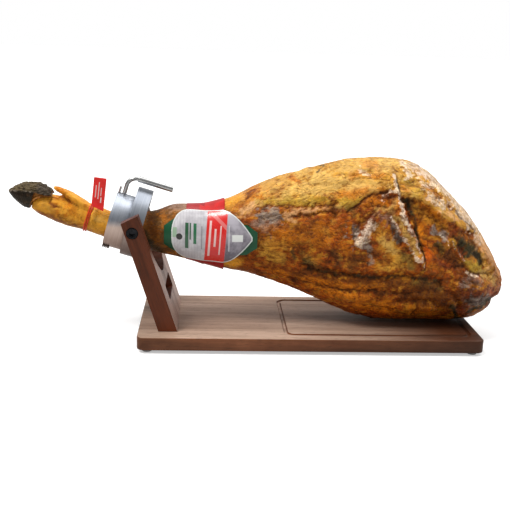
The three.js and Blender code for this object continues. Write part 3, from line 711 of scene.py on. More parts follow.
def carve(piece, *cutters):
    """Cuts other closed pieces out of this one, and removes them."""
    for cutter in cutters:
        apply_modifier(piece, "BOOLEAN", object=cutter, operation="DIFFERENCE", solver="EXACT")
        bpy.data.objects.remove(cutter)


def ease_edges(piece, width, segments=3, angle=30.0):
    """Rounds the sharp edges and shades the rest smooth."""
    apply_modifier(
        piece, "BEVEL", width=width, segments=segments, limit_method="ANGLE",
        angle_limit=math.radians(angle), use_clamp_overlap=True, harden_normals=False,
    )
    shade(piece, 35.0)


def shade(piece, angle=180.0):
    pick_only(piece)
    if angle >= 180.0:
        bpy.ops.object.shade_smooth()
    else:
        bpy.ops.object.shade_smooth_by_angle(angle=math.radians(angle))


def turn_to(axis):
    return axis.to_track_quat("Z", "Y").to_euler()


def rod(start, axis, radius, length, vertices):
    """A plain round bar from a point along an axis, in metres: the start of many pieces."""
    bpy.ops.mesh.primitive_cylinder_add(
        vertices=vertices, radius=radius, depth=length,
        location=start + axis * (length / 2), rotation=turn_to(axis),
    )
    return settled(bpy.context.object)


def block(low, high):
    """A plain block between two corners, in metres."""
    bpy.ops.mesh.primitive_cube_add(size=1.0, location=(low + high) / 2)
    piece = bpy.context.object
    piece.scale = high - low
    return settled(piece)


def bore_through(piece, axis, wall):
    """Insets both ends of a bar and bridges them, which leaves a tube of that wall."""
    with editing(piece, "FACE"):
        pick_parts(piece, "FACE", lambda centre, normal: abs(normal.dot(axis)) > 0.99)
        bpy.ops.mesh.inset(thickness=wall, use_even_offset=True)
        bpy.ops.mesh.bridge_edge_loops()
        close_up()


def close_up(weld=0.0):
    """In edit mode, joins points that are closer than `weld` and turns every face outward."""
    bpy.ops.mesh.select_all(action="SELECT")
    if weld:
        bpy.ops.mesh.remove_doubles(threshold=weld)
    bpy.ops.mesh.normals_make_consistent(inside=False)


def copy_of(node, name):
    """A copy of a construction piece with its loose triangles merged, ready to be shaped."""
    piece = bpy.data.objects.new(name, frame["nodes"][node].data.copy())
    piece.data.name = name
    bpy.context.scene.collection.objects.link(piece)
    piece.data.materials.clear()
    with editing(piece):
        bpy.ops.mesh.select_all(action="SELECT")
        bpy.ops.mesh.remove_doubles(threshold=1e-5)
        bpy.ops.mesh.customdata_custom_splitnormals_clear()
    return piece


def finish_piece(piece, material, body, slot, *nodes):
    """Gives a piece its finish, the body it rides on and the construction pieces it stands for."""
    piece.data.materials.clear()
    piece.data.materials.append(material)
    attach(piece, body)
    if nodes:
        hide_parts(*nodes)


def refinish(node, material):
    """Gives a construction piece that stays as it is its finish."""
    mesh = frame["nodes"][node].data
    mesh.materials.clear()
    mesh.materials.append(material)


def read_points(mesh):
    flat = np.empty(len(mesh.vertices) * 3)
    mesh.vertices.foreach_get("co", flat)
    return flat.reshape(-1, 3)


def write_points(mesh, points):
    mesh.vertices.foreach_set("co", np.asarray(points, float).ravel())
    mesh.update()


def read_normals(mesh):
    flat = np.empty(len(mesh.vertices) * 3)
    mesh.vertex_normals.foreach_get("vector", flat)
    return flat.reshape(-1, 3)


def store_masks(mesh, name, red=0.0, green=0.0, blue=0.0):
    """Three masks from 0 to 1, kept together as one colour attribute."""
    attribute = mesh.attributes.new(name, "FLOAT_COLOR", "POINT")
    count = len(mesh.vertices)
    columns = [np.broadcast_to(mask, count) for mask in (red, green, blue)] + [np.ones(count)]
    values = np.clip(np.stack(columns, 1), 0.0, 1.0)
    attribute.data.foreach_set("color", values.astype(np.float32).ravel())


def store_vector(mesh, name, vectors):
    attribute = mesh.attributes.new(name, "FLOAT_VECTOR", "POINT")
    attribute.data.foreach_set("vector", np.asarray(vectors, np.float32).ravel())


def smooth_step(low, high, values):
    share = np.clip((values - low) / (high - low), 0.0, 1.0)
    return share * share * (3.0 - 2.0 * share)


def window(start, full, fade, end, values):
    """Rises from 0 to 1 between `start` and `full`, and falls to 0 between `fade` and `end`."""
    return smooth_step(start, full, values) * (1.0 - smooth_step(fade, end, values))


def crease_lines(values, steepness, low):
    """1 along the thin lines where smooth noise crosses zero, and 0 away from them."""
    return smooth_step(low, 1.0, 1.0 - np.abs(values) * steepness)


def lumps(points, size, seed=0.0, octaves=3):
    """Smooth noise, about -1 to 1, whose lumps are `size` across, at each point."""
    scaled = np.asarray(points) / np.asarray(size) + seed
    return np.array([noise.fractal(p, 1.0, 2.0, octaves) for p in scaled.tolist()])


def board_mm(points):
    return (points - np.array(ORIGIN)) / MM


# ---- the stand ----
class HAMSTAND_OT_board(bpy.types.Operator):
    """Make the walnut board with its juice groove"""

    bl_idname = "hamstand.board"
    bl_label = "Board"

    def execute(self, context):
        sizes = context.scene.ham_sizes
        board = named(block(BOARD_LOW.copy(), BOARD_HIGH.copy()), "board_plank")
        with editing(board, "EDGE"):
            pick_parts(board, "EDGE", lambda a, b: abs(a.z - b.z) > 0.01)
            bpy.ops.mesh.bevel(offset=sizes.board_corner, segments=8, affect="EDGES")
        ease_edges(board, sizes.edge_round * 1.2, 3, 40.0)
        carve(board, self.groove_cutter())
        shade(board, 35.0)
        tone = context.scene.ham_colours.walnut
        material = walnut_finish("walnut_board_oiled", tuple(tone), 0.0, 0.0, 1.0, 0.0)
        finish_piece(board, material, "stand", "walnut_board", "board")
        return {"FINISHED"}

    @staticmethod
    def groove_cutter():
        """A round bar bent into a rounded rectangle, which leaves a groove with a round bottom."""
        left, right, reach, corner = 214.0, 485.0, 80.0, 12.0
        radius, depth = 3.25, 3.0
        bpy.ops.mesh.primitive_plane_add(size=1.0, location=placed((left + right) / 2, 0, radius - depth))
        track = bpy.context.object
        track.scale = ((right - left) * MM, 2 * reach * MM, 1.0)
        settled(track)
        with editing(track):
            bpy.ops.mesh.select_all(action="SELECT")
            bpy.ops.mesh.bevel(offset=corner * MM, segments=8, affect="VERTICES")
            bpy.ops.mesh.select_all(action="SELECT")
            bpy.ops.mesh.delete(type="ONLY_FACE")
        pick_only(track)
        bpy.ops.object.convert(target="CURVE")
        track.data.bevel_depth = radius * MM
        track.data.bevel_resolution = 6
        bpy.ops.object.convert(target="MESH")
        with editing(track):
            close_up(1e-6)
        return track


class HAMSTAND_OT_feet(bpy.types.Operator):
    """Make the four rubber feet"""

    bl_idname = "hamstand.feet"
    bl_label = "Feet"

    def execute(self, context):
        material = rubber_finish()
        radius, rim, hollow = 0.0068, 0.0016, 0.0004
        for number in range(1, 5):
            low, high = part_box(f"foot_{number}")
            middle = (low + high) / 2
            foot = rod(Vector((middle.x, middle.y, low.z)), Vector((0, 0, 1)), radius, high.z - low.z, 40)
            with editing(foot, "FACE"):
                pick_parts(foot, "FACE", lambda centre, normal: normal.z < -0.9)
                bpy.ops.mesh.inset(thickness=rim)
                bpy.ops.transform.translate(value=(0, 0, hollow))
            ease_edges(foot, 0.0006, 2)
            finish_piece(named(foot, f"foot_pad_{number}"), material, "stand", "rubber", f"foot_{number}")
        return {"FINISHED"}


class HAMSTAND_OT_post(bpy.types.Operator):
    """Make the leaning, forked post with its hand slot and bolt holes"""

    bl_idname = "hamstand.post"
    bl_label = "Post"

    def execute(self, context):
        sizes = context.scene.ham_sizes
        half = sizes.post_width / 2 / MM
        slope = math.tan(sizes.post_lean)
        thick = 25.8
        foot = thick / math.cos(sizes.post_lean)
        left, base, left_top, right_top = 29.4, 0.3, 157.0, 168.8
        post = named(block(placed(left, -half, base), placed(left + foot, half, left_top)), "post_fork")
        with editing(post):
            pick_parts(post, "VERT", lambda co: co.z > PIVOT.z and co.x < placed(left + 1, 0, 0).x)
            bpy.ops.transform.translate(value=(-slope * left_top * MM, 0, 0))
            pick_parts(post, "VERT", lambda co: co.z > PIVOT.z and co.x > placed(left + foot - 1, 0, 0).x)
            bpy.ops.transform.translate(value=(-slope * right_top * MM, 0, (right_top - left_top) * MM))
        carve(post, *self.cutters(sizes))
        ease_edges(post, sizes.edge_round, 3, 32.0)
        tone = context.scene.ham_colours.walnut
        reddish = (tone[0] * 0.62, tone[1] * 0.37, tone[2] * 0.24)
        material = walnut_finish("walnut_post_oiled", reddish, math.pi / 2 + sizes.post_lean, 3.7, 0.0, 0.95)
        finish_piece(post, material, "stand", "walnut_post", "post")
        return {"FINISHED"}

    @staticmethod
    def cutters(sizes):
        """The fork, its round cradle, the hand slot, the bolt hole and the sinks of the bolt heads."""
        up = Vector((-math.sin(sizes.post_lean), 0, math.cos(sizes.post_lean)))
        through = Vector((up.z, 0, -up.x))
        frame_turn = Matrix((through, ACROSS, up)).transposed().to_4x4()
        past = 0.06

        def slab(below, width, height, rounding):
            """A block square to the post, centred `below` under the pivot along it."""
            corner = Vector((past, width / 2, height / 2))
            piece = block(-corner, corner)
            if rounding:
                with editing(piece, "EDGE"):
                    pick_parts(piece, "EDGE", lambda a, b: abs(a.x - b.x) > 0.01)
                    bpy.ops.mesh.bevel(offset=rounding, segments=6, affect="EDGES")
            piece.matrix_world = Matrix.Translation(PIVOT - up * below) @ frame_turn
            return settled(piece)

        fork_radius, fork_below, above = 0.057, 0.023, 0.060
        fork = slab((fork_below - above) / 2, 2 * fork_radius, fork_below + above, 0)
        cradle = rod(PIVOT - up * fork_below - through * past, through, fork_radius, 2 * past, 160)
        slot_below, slot_width, slot_height, slot_corner = 0.107, 0.077, 0.023, 0.004
        slot = slab(slot_below, slot_width, slot_height, slot_corner)
        spare = 0.01
        reach = sizes.post_width / 2 + spare
        hole = rod(PIVOT - ACROSS * reach, ACROSS, BOLT_HOLE_RADIUS, 2 * reach, 48)
        sink_depth, sink_radius = 0.009, 0.0086
        sinks = [
            rod(PIVOT + ACROSS * (side * reach), -side * ACROSS, sink_radius, sink_depth + spare, 64)
            for side in (-1, 1)
        ]
        return [fork, cradle, slot, hole, *sinks]


class HAMSTAND_OT_bolts(bpy.types.Operator):
    """Make the two socket-headed pivot bolts, and finish their spacers"""

    bl_idname = "hamstand.bolts"
    bl_label = "Bolts"

    def execute(self, context):
        material = black_steel_finish("black_bolt_steel", (0.055, 0.055, 0.060), 0.16, 0.9)
        spacer = black_steel_finish("spacer_nylon", (0.03, 0.03, 0.03), 0.50, 0.0)
        radius, length, shank_radius = 0.008, 0.008, 0.004
        socket_radius, socket_depth, dish_radius, dish_depth = 0.0044, 0.0045, 0.0060, 0.0005
        for side, direction in (("near", 1), ("far", -1)):
            low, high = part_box("bolt_" + side)
            face = low.y if direction > 0 else high.y
            start = Vector((PIVOT.x, face, PIVOT.z))
            inward = ACROSS * direction
            head = rod(start, inward, radius, length, 64)
            with editing(head, "FACE"):
                pick_parts(head, "FACE", lambda centre, normal: normal.dot(inward) > 0.9)
                bpy.ops.mesh.inset(thickness=radius - shank_radius)
                shank = inward * (high.y - low.y - length)
                bpy.ops.mesh.extrude_region_move(TRANSFORM_OT_translate={"value": shank})
            socket = rod(start - inward * 0.004, inward, socket_radius, 0.004 + socket_depth, 6)
            dish = rod(start - inward * 0.0095, inward, dish_radius, 0.0095 + dish_depth, 64)
            carve(head, dish, socket)
            ease_edges(head, 0.0005, 2, 40.0)
            finish_piece(named(head, "pivot_bolt_" + side), material, "stand", "black_steel", "bolt_" + side)
            refinish("spacer_" + side, spacer)
        return {"FINISHED"}


# ---- the clamp ----
class HAMSTAND_OT_rings(bpy.types.Operator):
    """Make the two brushed rings, and finish the jaw and the pin between them"""

    bl_idname = "hamstand.rings"
    bl_label = "Clamp rings"

    def execute(self, context):
        steps = context.scene.ham_sizes.round_steps
        metal = aluminium_finish()
        large_radius, large_wall, gap = 51.4, 6.5, 0.3
        small_radius, small_wall, small_length, low = 40.7, 6.0, 27.0, 5.5
        large_start = -LARGE_RING_LENGTH / 2
        small_start = large_start - gap - small_length
        large = self.ring("ring_large", large_start, 0.0, large_radius, LARGE_RING_LENGTH, large_wall, steps)
        reach = 0.07
        carve(large, rod(PIVOT - ACROSS * reach, ACROSS, BOLT_HOLE_RADIUS, 2 * reach, 40))
        small = self.ring("ring_small", small_start, -low, small_radius, small_length, small_wall, steps)
        carve(small, self.jaw_room(small_start, low), self.screw_bore())
        for piece, node in ((large, "collar_outer"), (small, "collar_inner")):
            ease_edges(piece, 0.0007, 3, 40.0)
            finish_piece(piece, metal, "clamp", "aluminium", node)
        jaw = self.jaw(clamp_place(small_start + 5.0, -low), (small_radius - 1.0) * MM)
        tooth_gap, tooth_pitch, gap_radius, gap_wall = 1.2, 2.6, 50.0, 9.6
        starts = [small_start + tooth_pitch * (row + 0.55) for row in range(3)]
        carve(jaw, *(self.ring("gap", at, -low, gap_radius, tooth_gap, gap_wall, steps) for at in starts))
        ease_edges(jaw, 0.0002, 2, 30.0)
        browned = black_steel_finish("jaw_steel", (0.34, 0.18, 0.12), 0.40, 0.3)
        finish_piece(jaw, browned, "clamp", "black_steel", "grip_jaw")
        refinish("lock_pin", steel_finish())
        return {"FINISHED"}

    @staticmethod
    def ring(name, start, out, radius, length, wall, steps):
        """A ring along the clamp's axis, `out` from that axis, in millimetres."""
        piece = rod(clamp_place(start, out), ALONG, radius * MM, length * MM, steps)
        bore_through(piece, ALONG, wall * MM)
        return named(piece, name)

    @staticmethod
    def jaw_room(start, low):
        """The room for the jaw: a wedge below the axis, at the ring's outer end."""
        half_angle, depth, reach = math.radians(34.0), 10.0, 60.0
        wide = reach * math.tan(half_angle)
        wedge = block(Vector((-5.0, -wide, -reach)) * MM, Vector((depth, wide, 0.0)) * MM)
        with editing(wedge):
            pick_parts(wedge, "VERT", lambda co: co.z > -0.001)
            bpy.ops.transform.resize(value=(1, 0.001, 1), center_override=(0, 0, 0))
        turn = Matrix((ALONG, ACROSS, OUTWARD)).transposed().to_4x4()
        wedge.matrix_world = Matrix.Translation(clamp_place(start, -low)) @ turn
        return settled(wedge)

    @staticmethod
    def jaw(centre, rim):
        """The jaw with its saw teeth drawn out below the ring."""
        grow = 1.085
        piece = copy_of("grip_jaw", "toothed_jaw")

        def off_axis(co):
            offset = co - centre
            return (offset - ALONG * offset.dot(ALONG)).length

        with editing(piece):
            pick_parts(piece, "VERT", lambda co: off_axis(co) > rim)
            bpy.ops.transform.resize(value=(grow, grow, grow), center_override=centre)
        return piece

    @staticmethod
    def screw_bore():
        radius, reach = 0.0033, 0.012
        return rod(SCREW_FOOT - OUTWARD * reach, OUTWARD, radius, 2 * reach, 40)


class HAMSTAND_OT_screw(bpy.types.Operator):
    """Make the bent clamp screw and the sleeve on its handle"""

    bl_idname = "hamstand.screw"
    bl_label = "Clamp screw"

    def execute(self, context):
        material = bpy.data.materials["polished_steel"]
        reach, rise, bend, in_sleeve, radius = 0.022, 0.0355, 0.014, 0.009, 0.003
        foot = SCREW_FOOT - OUTWARD * reach
        bpy.ops.mesh.primitive_circle_add(
            vertices=40, radius=radius, fill_type="NGON", location=foot, rotation=turn_to(OUTWARD)
        )
        screw = named(settled(bpy.context.object), "clamp_screw_rod")
        corner = foot + OUTWARD * rise + ALONG * bend
        with editing(screw, "FACE"):
            bpy.ops.mesh.select_all(action="SELECT")
            bpy.ops.mesh.extrude_region_move(TRANSFORM_OT_translate={"value": OUTWARD * rise})
            bpy.ops.mesh.spin(steps=20, angle=-math.pi / 2, center=corner, axis=ACROSS)
            bpy.ops.mesh.extrude_region_move(TRANSFORM_OT_translate={"value": ALONG * in_sleeve})
            close_up(1e-6)
        ease_edges(screw, 0.0004, 2, 40.0)
        finish_piece(screw, material, "screw", "steel", "clamp_screw")

        sleeve_radius, sleeve_length, sleeve_wall = 0.0045, 0.052, 0.0012
        sleeve = rod(corner + OUTWARD * bend, ALONG, sleeve_radius, sleeve_length, 56)
        bore_through(named(sleeve, "handle_sleeve"), ALONG, sleeve_wall)
        ease_edges(sleeve, 0.0004, 2, 40.0)
        finish_piece(sleeve, material, "screw", "steel", "screw_sleeve")
        return {"FINISHED"}


# ---- the ham ----
# Folds of the dried surface: a line of (X, Z) points, how wide the fold is on its left and right
# (seen from the near side, going along the line), and how far it stands out.
FOLDS = [
    (((360, 236), (362, 215), (366, 206), (371, 190), (375, 176), (382, 162), (390, 149), (396, 136),
      (400, 122), (405, 106)), 3.4, 11.0, 6.0),
    (((372, 199), (380, 185), (388, 170), (396, 157), (402, 143), (404, 126)), 6.0, 4.0, -5.5),
    (((384, 190), (402, 180), (422, 164), (436, 152)), 8.0, 8.0, -4.5),
    (((358, 173), (364, 162), (373, 147), (383, 134), (392, 122), (401, 112)), 2.6, 3.4, 2.2),
    (((355, 164), (363, 150), (373, 137)), 3.6, 3.6, -2.4),
    (((376, 199), (399, 197), (413, 187), (430, 173), (447, 164), (472, 152)), 13.0, 3.2, 4.6),
    (((155, 166), (166, 177), (182, 181), (204, 183), (240, 185), (262, 185), (275, 189)), 2.6, 2.4, -1.6),
    (((158, 174), (182, 187), (212, 190), (246, 193), (270, 196)), 5.0, 6.0, 2.2),
    (((205, 176), (236, 178), (270, 181)), 2.6, 2.6, 1.0),
    (((226, 172), (244, 173), (262, 176), (277, 175)), 2.2, 2.2, -1.8),
    (((277, 190), (277, 168)), 3.0, 3.0, -2.4),
    (((296, 179), (306, 186), (318, 197), (330, 203), (345, 203), (357, 212)), 3.0, 2.6, -2.2),
    (((290, 190), (308, 196), (320, 206), (344, 211)), 5.0, 5.0, 2.0),
    (((345, 190), (350, 199), (357, 209)), 2.6, 2.6, 1.8),
    (((320, 186), (334, 190), (350, 188)), 3.0, 3.0, -1.8),
    (((238, 98), (250, 89), (300, 87), (340, 85), (380, 87), (402, 87), (438, 78)), 6.0, 5.0, -4.0),
    (((240, 104), (300, 94), (350, 92), (400, 94)), 7.0, 5.0, 1.8),
    (((215, 74), (245, 68), (290, 61), (340, 62), (392, 56)), 3.0, 3.0, -2.0),
    (((300, 49), (340, 47), (372, 38)), 6.0, 7.0, 2.8),
    (((378, 46), (392, 47), (430, 44)), 3.6, 3.6, -2.4),
    (((384, 34), (404, 32), (432, 30)), 7.0, 7.0, 2.6),
    (((404, 44), (408, 33), (404, 22)), 3.0, 3.0, -1.8),
    (((419, 156), (432, 148), (440, 138), (441, 126)), 4.0, 4.0, 3.0),
    (((428, 132), (436, 120), (448, 108)), 4.0, 5.0, -2.6),
    (((440, 148), (447, 138), (457, 126), (471, 108)), 2.2, 3.4, 3.2),
    (((451, 146), (462, 131), (475, 114)), 3.4, 3.4, -2.2),
    (((468, 128), (484, 120), (497, 108)), 9.0, 8.0, -2.6),
    (((452, 98), (466, 100), (478, 93), (497, 86), (514, 84)), 3.0, 2.6, -3.0),
    (((470, 72), (488, 68), (500, 62)), 17.0, 17.0, 4.6),
    (((452, 64), (462, 50), (474, 30)), 4.0, 4.0, -2.6),
    (((478, 50), (490, 40), (496, 26)), 3.0, 3.0, -2.0),
    (((333, 168), (322, 150), (311, 133)), 7.0, 4.0, 3.4),
    (((314, 168), (304, 152), (304, 136)), 4.0, 4.0, -2.6),
    (((317, 163), (330, 176), (338, 186)), 3.5, 3.5, -1.6),
    (((268, 240), (262, 235), (257, 229)), 2.2, 2.2, -2.2),
    (((381, 240), (384, 231), (380, 222)), 3.5, 3.5, 1.8),
    (((392, 236), (390, 222), (377, 209)), 3.6, 3.6, -2.0),
    (((412, 216), (424, 208), (434, 196)), 3.0, 3.0, -2.4),
    (((404, 226), (402, 214), (416, 202), (428, 190)), 4.5, 4.5, 1.8),
    (((446, 186), (464, 170), (482, 152)), 3.0, 3.0, -2.0),
    (((456, 186), (474, 170), (492, 150)), 5.0, 4.0, 1.8),
    (((506, 118), (516, 102), (524, 88)), 5.0, 5.0, 2.4),
    (((500, 100), (508, 92), (520, 74)), 3.0, 3.0, -2.0),
    (((505, 47), (520, 40), (534, 38)), 6.0, 6.0, -3.4),
    (((140, 174), (150, 184), (160, 196), (176, 206)), 2.4, 3.4, -1.8),
    (((146, 172), (158, 182), (174, 193)), 2.6, 2.6, 1.4),
    (((180, 206), (214, 214), (250, 222)), 3.0, 3.0, -1.2),
    (((230, 214), (270, 212), (310, 218)), 4.0, 4.0, -1.0),
    (((292, 224), (312, 232), (336, 228)), 3.4, 3.4, -1.4),
    (((166, 160), (184, 163), (202, 162)), 9.0, 9.0, -1.2),
    (((38, 170), (52, 172), (66, 172)), 5.0, 5.0, 1.8),
    (((-73, 149), (-69, 157), (-62, 166)), 2.6, 5.0, 3.8),
    (((-84, 150), (-80, 160), (-76, 170)), 3.0, 3.0, -1.4),
    (((-134, 180), (-126, 174), (-117, 168), (-110, 162)), 2.2, 2.2, -1.2),
    (((-122, 183), (-112, 183), (-104, 184)), 2.2, 2.2, -1.6),
    (((-104, 177), (-97, 168), (-94, 154)), 2.6, 2.6, -0.8),
    (((-92, 172), (-88, 160), (-89, 148)), 2.6, 2.6, -0.8),
    (((-112, 158), (-104, 150), (-96, 142)), 3.0, 3.0, -0.8),
]

# Tones of the dried surface; veils, which the finish lays over them, by their mask's number; and
# strokes of both: tone or veil, half width, strength and a line of (X, Z) points.
TONES = {
    "straw": (0.68, 0.41, 0.11), "gold": (0.55, 0.265, 0.034), "honey": (0.56, 0.165, 0.006),
    "stain": (0.26, 0.060, 0.004), "meat": (0.31, 0.054, 0.002), "umber": (0.15, 0.034, 0.003),
    "olive": (0.18, 0.11, 0.020), "mould": (0.045, 0.038, 0.017), "mauve": (0.33, 0.20, 0.15),
    "ember": (0.60, 0.100, 0.004), "flame": (0.60, 0.175, 0.006), "rose": (0.74, 0.40, 0.18),
    "leaf": (0.46, 0.29, 0.030), "amber": (0.82, 0.37, 0.034), "bark": (0.155, 0.060, 0.014),
    "wine": (0.21, 0.030, 0.008), "tan": (0.52, 0.215, 0.020),
}
